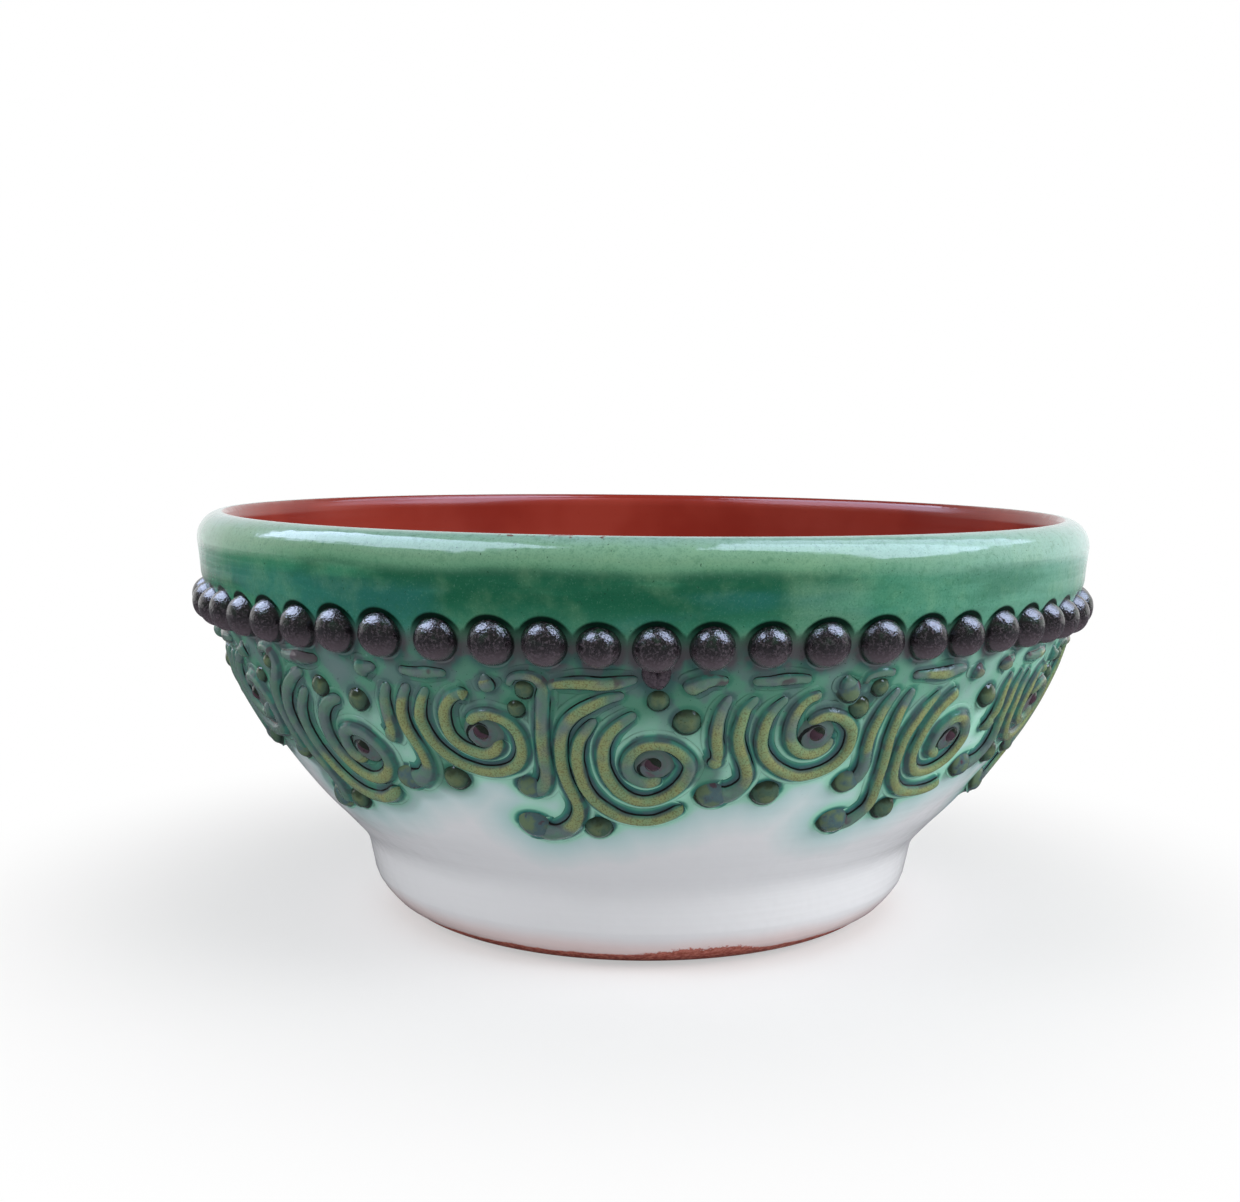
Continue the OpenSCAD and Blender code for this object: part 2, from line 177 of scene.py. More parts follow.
RIM_R = 110.0
BOWL_H = 99.5
COAT_T = 0.5
WALL_T = 7.0
LIP_T = 7.6
LIP_ROUND = (5.2, 5.8)
LIP_DROP = 3.6
FLOOR_H = 13.0
FLOOR_FLAT_R = 62.0
HAUNCH_PULL = 15
WORN = 0.8
RECESS = (47.0, 4.0)
FACE_R = 56.0
EDGE_TOP = (61.9, 3.0)
FOOT_SIDE = (68.3, 14.0)
ROW_H = 79.2
ROW_R = 106.8
ROW_LEAN = math.radians(17.6)
ROW_HALF = 6.2
BAND_H = 40.0
BAND_LOW = 34.0
LINE_W = 2.6
LINE_RISE = 1.7
DOT_D = 4.8
DOT_RISE = 1.9
# A line that ends wider than this share of its width ends in a bulb
BULB_W = 1.35
PAIR_TURN = 40.0
# One ninth of the bowl in millimetres along the wall, 46 mm up, where its radius is 92 mm
PAIR_ARC = PAIR_TURN * math.pi / 180 * 92
LIP_STEPS = 14

EDGE_SHARES = [(0.56, 0.37)]
FOOT_SHARES = [(0.42, 0.24), (0.83, 0.58)]
WALL_SHARES = [(0.045, 0.10), (0.18, 0.20), (0.355, 0.315), (0.545, 0.465), (0.73, 0.635), (0.87, 0.80)]
NECK_SHARES = [(0.4, 0.5)]


def between(a, b, share):
    return (a[0] + (b[0] - a[0]) * share[0], a[1] + (b[1] - a[1]) * share[1])


def spline(points, steps):
    """A smooth line through the points"""
    p = np.array([points[0]] + list(points) + [points[-1]], float)
    out = []
    for i in range(len(points) - 1):
        a, b, c, d = p[i:i + 4]
        for t in np.arange(steps) / steps:
            out.append((2 * b + (c - a) * t + (2 * a - 5 * b + 4 * c - d) * t * t
                        + (3 * b - a - 3 * c + d) * t ** 3) / 2)
    return np.array(out + [p[-1]])


def quarter(middle, across, up, start, end, steps=LIP_STEPS):
    turns = np.radians(np.linspace(start, end, steps + 1)[1:])
    return np.stack([middle[0] + across * np.cos(turns), middle[1] + up * np.sin(turns)], 1)


def reaches(line):
    """The distance of each point of a line from its start, along the line"""
    return np.concatenate([[0], np.cumsum(np.linalg.norm(np.diff(line, axis=0), axis=1))])


def spaced_by(line, reach, gaps):
    return np.stack([np.interp(gaps, reach, line[:, k]) for k in range(line.shape[1])], 1)


def spaced(line, gaps):
    """Points along a line, at the distances from its start that gaps lists"""
    return spaced_by(line, reaches(line), gaps)


def length(line):
    return float(np.linalg.norm(np.diff(line, axis=0), axis=1).sum())


row_dir = np.array([math.sin(ROW_LEAN), math.cos(ROW_LEAN)])
row_bottom = tuple(np.array([ROW_R, ROW_H]) - ROW_HALF * row_dir)
row_top = tuple(np.array([ROW_R, ROW_H]) + ROW_HALF * row_dir)
lip_side = (RIM_R - COAT_T, BOWL_H - COAT_T - LIP_ROUND[1])
crown_r = RIM_R - COAT_T - LIP_ROUND[0]

wall_line = np.concatenate([
    spline([(FACE_R, 0)] + [between((FACE_R, 0), EDGE_TOP, s) for s in EDGE_SHARES] + [EDGE_TOP]
           + [between(EDGE_TOP, FOOT_SIDE, s) for s in FOOT_SHARES] + [FOOT_SIDE]
           + [between(FOOT_SIDE, row_bottom, s) for s in WALL_SHARES] + [row_bottom], 12),
    spline([row_top] + [between(row_top, lip_side, s) for s in NECK_SHARES] + [lip_side], 12),
    quarter((crown_r, lip_side[1]), LIP_ROUND[0], LIP_ROUND[1], 0, 90)])
along = np.gradient(wall_line, axis=0)
out_dir = np.stack([along[:, 1], -along[:, 0]], 1) / np.linalg.norm(along, axis=1)[:, None]
coat_line = wall_line + COAT_T * out_dir
side_rows = coat_line[coat_line[:, 1] < lip_side[1]]


def coat_r(z):
    return np.interp(z, side_rows[:, 1], side_rows[:, 0])


def on_coat(turn, z):
    """A place on the coat, for a turn in degrees from the front towards the right"""
    a = np.radians(turn)
    return np.stack([coat_r(z) * np.sin(a), -coat_r(z) * np.cos(a), z + 0 * a], -1)


def off_coat(turn, z):
    """The way straight off the coat there"""
    a = np.radians(turn)
    lean = np.arctan2(coat_r(z + 3) - coat_r(z - 3), 6.0)
    return np.stack([np.cos(lean) * np.sin(a), -np.cos(lean) * np.cos(a), -np.sin(lean)], -1)


# The drawings that the slip was trailed to. A point is its turn from the middle of the scroll as a share of
# one ninth of the bowl, its height as a share of the band, and its width as a share of a line's width.

LARGE_A = [
    [(-0.385, 0.90, 0.7), (-0.37, 0.945, 0.75), (-0.34, 0.96, 0.8), (-0.305, 0.95, 0.85), (-0.285, 0.905, 0.9),
     (-0.29, 0.85, 1), (-0.295, 0.78, 1), (-0.30, 0.70, 1), (-0.305, 0.61, 1), (-0.305, 0.52, 1),
     (-0.305, 0.44, 1), (-0.315, 0.38, 1.1), (-0.34, 0.34, 1.3), (-0.365, 0.35, 1.5)],
    [(-0.07, 0.87, 0.8), (-0.115, 0.855, 1), (-0.16, 0.82, 1), (-0.205, 0.77, 1), (-0.235, 0.71, 1),
     (-0.25, 0.64, 1), (-0.255, 0.56, 1), (-0.255, 0.475, 1), (-0.245, 0.39, 1), (-0.23, 0.315, 1),
     (-0.22, 0.255, 1), (-0.225, 0.195, 1.1), (-0.25, 0.13, 1.25), (-0.295, 0.085, 1.45), (-0.345, 0.08, 1.8),
     (-0.385, 0.12, 2)],
    [(-0.15, 0.74, 0.8), (-0.175, 0.69, 1), (-0.195, 0.64, 1), (-0.205, 0.59, 1), (-0.21, 0.525, 1),
     (-0.205, 0.45, 1), (-0.195, 0.375, 1), (-0.17, 0.30, 1), (-0.13, 0.24, 1), (-0.085, 0.195, 1),
     (-0.03, 0.175, 1), (0.025, 0.18, 1), (0.07, 0.21, 1), (0.11, 0.255, 0.9)],
    [(-0.04, 0.775, 1), (-0.075, 0.735, 1), (-0.11, 0.68, 1), (-0.13, 0.615, 1), (-0.135, 0.545, 1),
     (-0.13, 0.47, 1), (-0.11, 0.395, 1), (-0.08, 0.335, 1), (-0.04, 0.30, 1), (0, 0.295, 1),
     (0.045, 0.32, 1), (0.085, 0.37, 1), (0.11, 0.43, 1), (0.12, 0.495, 1), (0.10, 0.555, 1),
     (0.06, 0.605, 1), (0.02, 0.62, 1), (-0.02, 0.61, 1), (-0.05, 0.57, 1), (-0.065, 0.515, 1),
     (-0.06, 0.46, 1), (-0.035, 0.42, 1), (0, 0.405, 1), (0.035, 0.43, 0.9)],
    [(-0.285, 0.875, 0.9), (-0.265, 0.915, 0.9), (-0.22, 0.93, 0.95), (-0.175, 0.935, 1), (-0.13, 0.93, 1),
     (-0.08, 0.94, 1), (-0.035, 0.955, 0.8)]]
LARGE_B = [
    [(-0.42, 0.90, 0.7), (-0.415, 0.94, 0.75), (-0.375, 0.96, 0.75), (-0.33, 0.95, 0.75)],
    [(-0.30, 0.865, 0.85), (-0.33, 0.80, 1), (-0.35, 0.73, 1), (-0.36, 0.655, 1), (-0.36, 0.58, 1),
     (-0.35, 0.51, 1), (-0.34, 0.435, 1.1), (-0.35, 0.38, 1.3), (-0.375, 0.36, 1.6)],
    [(-0.245, 0.855, 0.85), (-0.265, 0.80, 1), (-0.28, 0.735, 1), (-0.285, 0.665, 1), (-0.285, 0.595, 1),
     (-0.275, 0.51, 1), (-0.265, 0.425, 1), (-0.255, 0.345, 1), (-0.24, 0.265, 1), (-0.235, 0.195, 1.1),
     (-0.26, 0.13, 1.25), (-0.30, 0.09, 1.5), (-0.35, 0.11, 2)],
    [(-0.135, 0.825, 0.8), (-0.17, 0.77, 1), (-0.20, 0.705, 1), (-0.22, 0.63, 1), (-0.225, 0.56, 1),
     (-0.22, 0.485, 1), (-0.21, 0.41, 1), (-0.19, 0.345, 1), (-0.16, 0.295, 1), (-0.12, 0.255, 1),
     (-0.065, 0.235, 1), (-0.01, 0.23, 1), (0.045, 0.24, 1), (0.085, 0.27, 0.9)],
    [(-0.065, 0.825, 1.1), (-0.105, 0.775, 1.1), (-0.135, 0.705, 1), (-0.155, 0.63, 1), (-0.16, 0.56, 1),
     (-0.16, 0.485, 1), (-0.14, 0.42, 1), (-0.11, 0.375, 1), (-0.07, 0.36, 1), (-0.02, 0.37, 1),
     (0.025, 0.41, 1), (0.05, 0.47, 1), (0.06, 0.54, 1), (0.04, 0.61, 1), (0.005, 0.66, 1),
     (-0.04, 0.66, 1), (-0.075, 0.625, 1), (-0.09, 0.575, 1), (-0.09, 0.515, 1), (-0.07, 0.475, 1),
     (-0.035, 0.46, 0.9)],
    [(-0.265, 0.93, 0.85), (-0.20, 0.93, 0.9), (-0.15, 0.93, 1), (-0.10, 0.94, 1), (-0.055, 0.935, 0.8)],
    [(0.005, 0.955, 0.9), (0, 0.91, 1.2), (0, 0.87, 1.3)]]
LARGE_C = [
    [(-0.41, 0.895, 0.7), (-0.40, 0.94, 0.75), (-0.36, 0.96, 0.8), (-0.32, 0.945, 0.85), (-0.31, 0.89, 0.9),
     (-0.335, 0.82, 1), (-0.375, 0.75, 1), (-0.395, 0.67, 1), (-0.40, 0.58, 1), (-0.40, 0.49, 1),
     (-0.405, 0.42, 1.1), (-0.42, 0.37, 1.4)],
    [(-0.185, 0.865, 0.85), (-0.225, 0.84, 1), (-0.265, 0.795, 1), (-0.31, 0.725, 1), (-0.34, 0.64, 1),
     (-0.35, 0.545, 1), (-0.34, 0.45, 1), (-0.33, 0.365, 1), (-0.31, 0.285, 1), (-0.30, 0.215, 1),
     (-0.305, 0.155, 1.2), (-0.335, 0.105, 1.4), (-0.375, 0.085, 1.9)],
    [(-0.195, 0.765, 0.8), (-0.22, 0.73, 1), (-0.25, 0.665, 1), (-0.27, 0.59, 1), (-0.275, 0.50, 1),
     (-0.265, 0.41, 1), (-0.245, 0.33, 1), (-0.215, 0.255, 1), (-0.17, 0.20, 1), (-0.115, 0.17, 1),
     (-0.055, 0.17, 1), (0, 0.20, 1), (0.04, 0.245, 0.9)],
    [(-0.045, 0.745, 1), (-0.10, 0.715, 1), (-0.14, 0.65, 1), (-0.16, 0.565, 1), (-0.16, 0.47, 1),
     (-0.13, 0.375, 1), (-0.09, 0.315, 1), (-0.035, 0.295, 1), (0.02, 0.32, 1), (0.06, 0.38, 1),
     (0.07, 0.45, 1), (0.05, 0.515, 1), (0.01, 0.57, 1), (-0.04, 0.58, 1), (-0.08, 0.55, 1),
     (-0.09, 0.485, 1), (-0.075, 0.425, 1), (-0.035, 0.40, 0.9)],
    [(-0.27, 0.945, 0.8), (-0.23, 0.94, 0.9), (-0.18, 0.945, 0.9), (-0.13, 0.945, 0.9), (-0.09, 0.955, 0.7)]]
SMALL_A = [
    [(-0.385, 0.895, 1.5), (-0.36, 0.925, 1.2), (-0.315, 0.95, 1), (-0.27, 0.94, 0.9)],
    [(-0.26, 0.865, 0.8), (-0.28, 0.805, 1), (-0.29, 0.73, 1), (-0.29, 0.645, 1), (-0.28, 0.575, 1),
     (-0.28, 0.53, 1.05), (-0.295, 0.485, 1.1)],
    [(-0.185, 0.855, 0.85), (-0.215, 0.80, 1), (-0.225, 0.735, 1), (-0.23, 0.665, 1), (-0.22, 0.595, 1),
     (-0.20, 0.525, 1), (-0.185, 0.47, 1), (-0.18, 0.415, 1), (-0.20, 0.36, 1.2), (-0.235, 0.325, 1.5),
     (-0.275, 0.325, 1.9)],
    [(-0.10, 0.85, 0.8), (-0.135, 0.795, 1), (-0.155, 0.73, 1), (-0.16, 0.655, 1), (-0.155, 0.595, 1),
     (-0.135, 0.535, 1), (-0.09, 0.47, 1), (-0.04, 0.43, 1), (0, 0.42, 1), (0.055, 0.44, 1),
     (0.095, 0.48, 1), (0.12, 0.54, 1), (0.125, 0.605, 1), (0.115, 0.675, 1), (0.08, 0.73, 1),
     (0.035, 0.755, 1), (0, 0.745, 1), (-0.025, 0.71, 0.8)],
    [(0, 0.86, 1), (-0.04, 0.84, 1), (-0.07, 0.78, 1), (-0.08, 0.70, 1), (-0.07, 0.62, 1),
     (-0.04, 0.565, 1), (0, 0.545, 1), (0.045, 0.565, 1), (0.065, 0.615, 0.9)],
    [(-0.205, 0.94, 0.85), (-0.16, 0.94, 0.9), (-0.12, 0.95, 0.9), (-0.075, 0.95, 0.9), (-0.04, 0.94, 0.8)],
    [(0.07, 0.955, 0.9), (0.07, 0.92, 1.3), (0.08, 0.88, 1.4)]]
SMALL_B = [
    [(-0.36, 0.91, 1.3), (-0.335, 0.935, 1.1), (-0.29, 0.95, 0.85)],
    [(-0.26, 0.865, 0.85), (-0.28, 0.80, 1), (-0.285, 0.73, 1), (-0.285, 0.645, 1), (-0.295, 0.585, 1.1),
     (-0.315, 0.55, 1.25)],
    [(-0.19, 0.87, 0.85), (-0.215, 0.805, 1), (-0.23, 0.73, 1), (-0.23, 0.645, 1), (-0.215, 0.57, 1),
     (-0.20, 0.50, 1), (-0.20, 0.425, 1.1), (-0.225, 0.365, 1.3), (-0.265, 0.335, 1.6), (-0.30, 0.335, 1.8)],
    [(-0.13, 0.86, 0.85), (-0.155, 0.79, 1), (-0.17, 0.705, 1), (-0.16, 0.62, 1), (-0.135, 0.545, 1),
     (-0.09, 0.48, 1), (-0.04, 0.445, 1), (0.01, 0.43, 1), (0.06, 0.44, 1), (0.105, 0.475, 1),
     (0.13, 0.535, 1), (0.135, 0.605, 1), (0.125, 0.67, 1), (0.095, 0.725, 1), (0.05, 0.75, 1),
     (0.01, 0.735, 1), (-0.02, 0.69, 0.8)],
    [(-0.005, 0.855, 1.1), (-0.05, 0.83, 1), (-0.08, 0.775, 1), (-0.09, 0.705, 1), (-0.085, 0.63, 1),
     (-0.06, 0.575, 1), (-0.02, 0.54, 1), (0.02, 0.53, 1), (0.055, 0.56, 1), (0.07, 0.61, 0.9)],
    [(-0.21, 0.945, 0.85), (-0.16, 0.94, 0.9), (-0.11, 0.945, 0.9), (-0.06, 0.945, 0.8)],
    [(0.05, 0.955, 0.9), (0.055, 0.91, 1.2), (0.065, 0.865, 1.3)]]

# Dots of each drawing, the last of them the eye of the spiral; the width is a share of DOT_D
LARGE_A_DOTS = [(-0.34, 0.885, 0.75), (0.10, 0.735, 1), (-0.165, 0.12, 1.05), (0.02, 0.845, 0.8),
                (0.01, 0.50, 0.9)]
LARGE_B_DOTS = [(-0.37, 0.88, 0.75), (-0.14, 0.145, 1.05), (0.10, 0.76, 1), (-0.02, 0.555, 0.9)]
LARGE_C_DOTS = [(-0.365, 0.88, 0.7), (-0.235, 0.11, 1.05), (-0.115, 0.80, 0.9), (0.035, 0.755, 0.95),
                (-0.01, 0.475, 0.9)]
SMALL_A_DOTS = [(0.125, 0.78, 0.9), (-0.105, 0.325, 1.1), (0.005, 0.645, 0.9)]
SMALL_B_DOTS = [(-0.115, 0.365, 1.05), (0.13, 0.78, 0.7), (0.02, 0.64, 0.9)]

# Each scroll: the node that it stands for, its turn from the front, its drawing and its dots
LARGE_TURNS = [1, 42, 81, 122, 161, 202, 241, 282, 324]
SMALL_TURNS = [20, 61, 100, 141, 180, 221, 260, 300, 341]
LARGE_DRAWINGS = [(LARGE_A, LARGE_A_DOTS), (LARGE_B, LARGE_B_DOTS)] * 4 + [(LARGE_C, LARGE_C_DOTS)]
SMALL_DRAWINGS = [(SMALL_A, SMALL_A_DOTS), (SMALL_B, SMALL_B_DOTS)] * 4 + [(SMALL_B, SMALL_B_DOTS)]
SCROLLS = [(f"large_scroll_{i + 1}", t) + d for i, (t, d) in enumerate(zip(LARGE_TURNS, LARGE_DRAWINGS))]
SCROLLS += [(f"small_scroll_{i + 1}", t) + d for i, (t, d) in enumerate(zip(SMALL_TURNS, SMALL_DRAWINGS))]


# Pieces: a guide of points goes through a Geometry Nodes tree and comes out as a plain mesh

def guide(name, points, edges=(), **facts):
    """A mesh of points and edges in metres, with a named value for each point"""
    mesh = bpy.data.meshes.new(name)
    mesh.from_pydata([tuple(p) for p in points], [tuple(map(int, e)) for e in edges], [])
    for fact, values in facts.items():
        values = np.asarray(values, dtype=np.float32)
        if values.ndim == 2:
            mesh.attributes.new(fact, "FLOAT_VECTOR", "POINT").data.foreach_set("vector", values.ravel())
        else:
            mesh.attributes.new(fact, "FLOAT", "POINT").data.foreach_set("value", values)
    piece = bpy.data.objects.new(name, mesh)
    bpy.context.scene.collection.objects.link(piece)
    return piece


class Recipe(Bench):
    """A Geometry Nodes tree with named inputs"""

    def __init__(self, name, sizes):
        super().__init__(bpy.data.node_groups.new(name, "GeometryNodeTree"))
        face = self.tree.interface
        face.new_socket("Geometry", in_out="INPUT", socket_type="NodeSocketGeometry")
        face.new_socket("Geometry", in_out="OUTPUT", socket_type="NodeSocketGeometry")
        self.slots = {}
        for label, kind in sizes.items():
            self.slots[label] = face.new_socket(label, in_out="INPUT", socket_type=kind).identifier
        self.entry = self.tree.nodes.new("NodeGroupInput")
        self.guide = Wire(self, self.entry.outputs["Geometry"])

    def given(self, label):
        return Wire(self, self.entry.outputs[label])

    def fact(self, name, kind="FLOAT"):
        return self.add("GeometryNodeInputNamedAttribute", {"data_type": kind}, {"Name": name})

    def kept(self, shape, name, value):
        """Stores a value on every point, for the material to read"""
        return self.add("GeometryNodeStoreNamedAttribute", {"data_type": "FLOAT", "domain": "POINT"},
                        {"Geometry": shape, "Name": name, "Value": value})

    def moved(self, shape, place=None, offset=None):
        inputs = {"Geometry": shape}
        if place is not None:
            inputs["Position"] = place
        if offset is not None:
            inputs["Offset"] = offset
        return self.add("GeometryNodeSetPosition", None, inputs)

    def finish(self, shape):
        """Every tree ends in plain, smooth, painted faces"""
        shape = self.add("GeometryNodeRealizeInstances", None, {0: shape})
        shape = self.add("GeometryNodeSetShadeSmooth", None, {"Geometry": shape})
        shape = self.add("GeometryNodeSetMaterial", None,
                         {"Geometry": shape, "Material": self.given("Material")})
        last = self.tree.nodes.new("NodeGroupOutput")
        self.tree.links.new(shape.socket, last.inputs[0])


def made(piece, recipe, **sizes):
    """Runs a piece's guide through a recipe and keeps the result as its mesh"""
    modifier = piece.modifiers.new("recipe", "NODES")
    modifier.node_group = recipe.tree
    for label, value in sizes.items():
        modifier[recipe.slots[label.replace("_", " ")]] = value
    bpy.context.view_layer.update()
    done = piece.evaluated_get(bpy.context.evaluated_depsgraph_get())
    mesh = bpy.data.meshes.new_from_object(done)
    piece.modifiers.remove(modifier)
    mesh.materials.clear()
    mesh.materials.append(sizes["Material"])
    mesh.polygons.foreach_set("material_index", [0] * len(mesh.polygons))
    piece.data = mesh
    return piece


def thrown_recipe():
    """A form that was thrown on the wheel: each point of its outline becomes a ring"""
    r = Recipe("thrown form", {"Facets": "NodeSocketInt", "Rings": "NodeSocketInt",
                               "Material": "NodeSocketMaterial"})
    sheet = r.add("GeometryNodeMeshGrid", None, {"Size X": 1.0, "Size Y": 1.0,
                                                 "Vertices X": r.given("Facets") + 1,
                                                 "Vertices Y": r.given("Rings")})
    place = r.split(r.add("GeometryNodeInputPosition"))
    row = ((place[1] + 0.5) * (r.given("Rings") - 1)).maths("ROUND")
    point = r.add("GeometryNodeSampleIndex", {"data_type": "FLOAT_VECTOR", "domain": "POINT"},
                  {"Geometry": r.guide, "Value": r.add("GeometryNodeInputPosition"), "Index": row})
    radius, height, _ = r.split(point)
    turn = (place[0] + 0.5) * (2 * math.pi)
    ring = r.joined(radius * turn.maths("COSINE"), radius * turn.maths("SINE"), height)
    form = r.moved(sheet, place=ring)
    form = r.add("GeometryNodeMergeByDistance", None, {"Geometry": form, "Distance": 0.00002})
    r.finish(form)
    return r


# Half section of a trailed line and its skirt: how far out, in 2.2 half widths, and the share of the rise
LINE_SECTION = [(0.0, 1.0), (0.14, 0.96), (0.27, 0.81), (0.37, 0.57), (0.44, 0.34), (0.50, 0.22), (0.60, 0.14),
                (0.78, 0.06), (0.88, 0.0), (1.0, -0.08)]


def trailed_recipe():
    """A line of slip that follows its guide over the wall, round at both ends, with a thin skirt of glaze"""
    r = Recipe("trailed line", {"Corners": "NodeSocketInt", "Skirt": "NodeSocketFloat",
                                "Brim": "NodeSocketFloat", "Unevenness": "NodeSocketFloat",
                                "Material": "NodeSocketMaterial"})
    path = r.add("GeometryNodeMeshToCurve", None, {"Mesh": r.guide})
    path = r.add("GeometryNodeSetCurveNormal", {"mode": "FREE"},
                 {"Curve": path, "Normal": r.fact("off", "FLOAT_VECTOR")})
    reach = r.add("GeometryNodeSplineParameter", None, None, "Length")
    whole = r.add("GeometryNodeSplineLength", None, None, "Length")
    half = r.fact("half")
    end = (reach.smaller(whole - reach) / half).within()
    rounded = (1.0 - (1.0 - end) ** 2.0).root().larger(0.02)
    path = r.kept(path, "rounded", rounded)
    path = r.kept(path, "reach", reach)
    along_line = r.joined(reach * 260.0, r.fact("line") * 7.3, 0.0)
    wander = r.add("ShaderNodeTexNoise", {"noise_dimensions": "2D"},
                   {"Vector": along_line, "Scale": 1.0, "Detail": 1.0})
    wander = 1.0 + (wander - 0.5) * r.given("Unevenness")
    path = r.kept(path, "swell", half * rounded * wander)
    section = r.add("GeometryNodeCurvePrimitiveCircle", {"mode": "RADIUS"},
                    {"Resolution": r.given("Corners"), "Radius": 1.0})
    corner = r.add("GeometryNodeInputIndex") / r.given("Corners") * 4.0
    under = corner > 2.001
    across = (1.0 - corner + under * (corner * 2.0 - 4.0)) * r.given("Skirt")
    section = r.kept(section, "under", under)
    section = r.kept(section, "across", across)
    section = r.moved(section, place=r.joined(0.0, across, 0.0))
    line = r.add("GeometryNodeCurveToMesh", None,
                 {"Curve": path, "Profile Curve": section, "Scale": r.fact("swell")})
    height = r.add("ShaderNodeFloatCurve", {"points": LINE_SECTION}, {"Value": r.fact("across").size() / 2.2})
    lifted = height * r.fact("lift") * r.fact("rounded") * wander
    lifted = lifted * (1.0 - r.fact("under")) - r.fact("under") * 0.0004
    line = r.moved(line, offset=r.scaled(r.fact("off", "FLOAT_VECTOR"), lifted))
    edge = r.fact("across").size()
    spare = (edge - 1.0).larger(0.0) * (r.fact("swell") - r.given("Brim")).larger(0.0)
    inward = spare * r.fact("across") / edge.larger(0.01) * -1.0
    line = r.moved(line, offset=r.scaled(r.fact("aside", "FLOAT_VECTOR"), inward))
    r.finish(line)
    return r


def domed_recipe():
    """Domes of slip set on the wall, each with its own width, height and rise, and a thin skirt of glaze"""
    r = Recipe("domed slip", {"Facets": "NodeSocketInt", "Rings": "NodeSocketInt", "Skirt": "NodeSocketFloat",
                              "Fullness": "NodeSocketFloat", "Unevenness": "NodeSocketFloat",
                              "Material": "NodeSocketMaterial"})
    cap = r.add("GeometryNodeMeshCone", {"fill_type": "NGON"},
                {"Vertices": r.given("Facets"), "Side Segments": r.given("Rings"), "Fill Segments": 1,
                 "Radius Top": 0.0, "Radius Bottom": 1.0, "Depth": 1.0})
    place = r.split(r.add("GeometryNodeInputPosition"))
    ring = (place[0] * place[0] + place[1] * place[1]).root()
    across = (1.0 - (1.0 - ring) ** 1.25) * r.given("Skirt")
    cap = r.kept(cap, "across", across)
    spread = across / ring.larger(0.001)
    cap = r.kept(cap, "aslant", place[0] * spread)
    cap = r.kept(cap, "high", place[1] * spread)
    full = (1.0 - across.smaller(1.0) ** r.given("Fullness")).root()
    fillet = across.ease(1.25, 0.88) * 0.10
    cap = r.moved(cap, place=r.joined(place[0] * spread, place[1] * spread, full.larger(fillet) - 0.03))
    turned = r.add("FunctionNodeAxesToRotation", {"primary_axis": "Z", "secondary_axis": "Y"},
                   {"Primary Axis": r.fact("off", "FLOAT_VECTOR"),
                    "Secondary Axis": r.fact("up", "FLOAT_VECTOR")})
    domes = r.add("GeometryNodeInstanceOnPoints", None,
                  {"Points": r.guide, "Instance": cap, "Rotation": turned,
                   "Scale": r.joined(r.fact("wide"), r.fact("tall"), r.fact("lift"))})
    domes = r.add("GeometryNodeRealizeInstances", None, {0: domes})
    lump = r.add("ShaderNodeTexNoise", None, {"Vector": r.add("GeometryNodeInputPosition"), "Scale": 95.0,
                                              "Detail": 1.0}, "Color")
    lump = r.vector("SUBTRACT", lump, (0.5, 0.5, 0.5))
    domes = r.moved(domes, offset=r.scaled(lump, r.given("Unevenness") * (1.15 - r.fact("across")).within()))
    r.finish(domes)
    return r


def pooled_recipe():
    """The coat with its distances from the slip and from the pearls kept, for the glaze's colours"""
    r = Recipe("pooled glaze", {"Relief": "NodeSocketCollection", "Pearls": "NodeSocketCollection",
                                "Spread": "NodeSocketInt", "Material": "NodeSocketMaterial"})
    coat = r.guide
    place = r.add("GeometryNodeInputPosition")
    for label, name in (("Relief", "gap"), ("Pearls", "pearl_gap")):
        slip = r.add("GeometryNodeCollectionInfo", None, {"Collection": r.given(label)})
        slip = r.add("GeometryNodeRealizeInstances", None, {0: slip})
        slip = r.add("GeometryNodeDeleteGeometry", {"domain": "POINT"},
                     {"Geometry": slip, "Selection": r.fact("across").size() > 1.02})
        near = r.add("GeometryNodeProximity", {"target_element": "FACES"},
                     {"Geometry": slip, "Sample Position": place}, "Distance")
        coat = r.kept(coat, name, near / MM)
    room = r.add("GeometryNodeBlurAttribute", None,
                 {"Value": r.fact("gap").smaller(6.0), "Iterations": r.given("Spread")})
    coat = r.kept(coat, "room", room)
    r.finish(coat)
    return r


def told_recipe():
    """Slip that takes the facts of the glaze round it from the coat, so that their colours meet"""
    r = Recipe("told slip", {"Coat": "NodeSocketObject", "Material": "NodeSocketMaterial"})
    coat = r.add("GeometryNodeObjectInfo", None, {"Object": r.given("Coat")}, "Geometry")
    piece = r.guide
    for name in ("gap", "pearl_gap", "room"):
        piece = r.kept(piece, name, r.add("GeometryNodeSampleNearestSurface", None,
                                          {"Mesh": coat, "Value": r.fact(name)}))
    r.finish(piece)
    return r


# The glaze on the wall, which the coat and every skirt share. Places are in millimetres.

WHITE_SLIP = "#d9dadd"
# Where the dark glaze pooled between the scrolls, by turn, height and width
POOLS = [(7.5, 52.0, 5.0), (-25.0, 50.0, 8.0), (-21.5, 62.0, 7.0)]
# Kinds of dots, as the fact that the material reads. On the pearls, 1 marks a drip.
PLAIN, DISC, EYE, BULB = 0.0, 1.0, 2.0, 3.0
DRIP = 1.0


def round_noise(b, turn, along, up, aside, *kind):
    """Noise that follows the turn and closes behind: past 140 degrees it runs over into its other end"""
    ahead, over = (b.noise(b.joined(t * along, up, aside), *kind) for t in (turn, turn - 360.0))
    return ahead + (over - ahead) * turn.ease(140.0, 180.0)


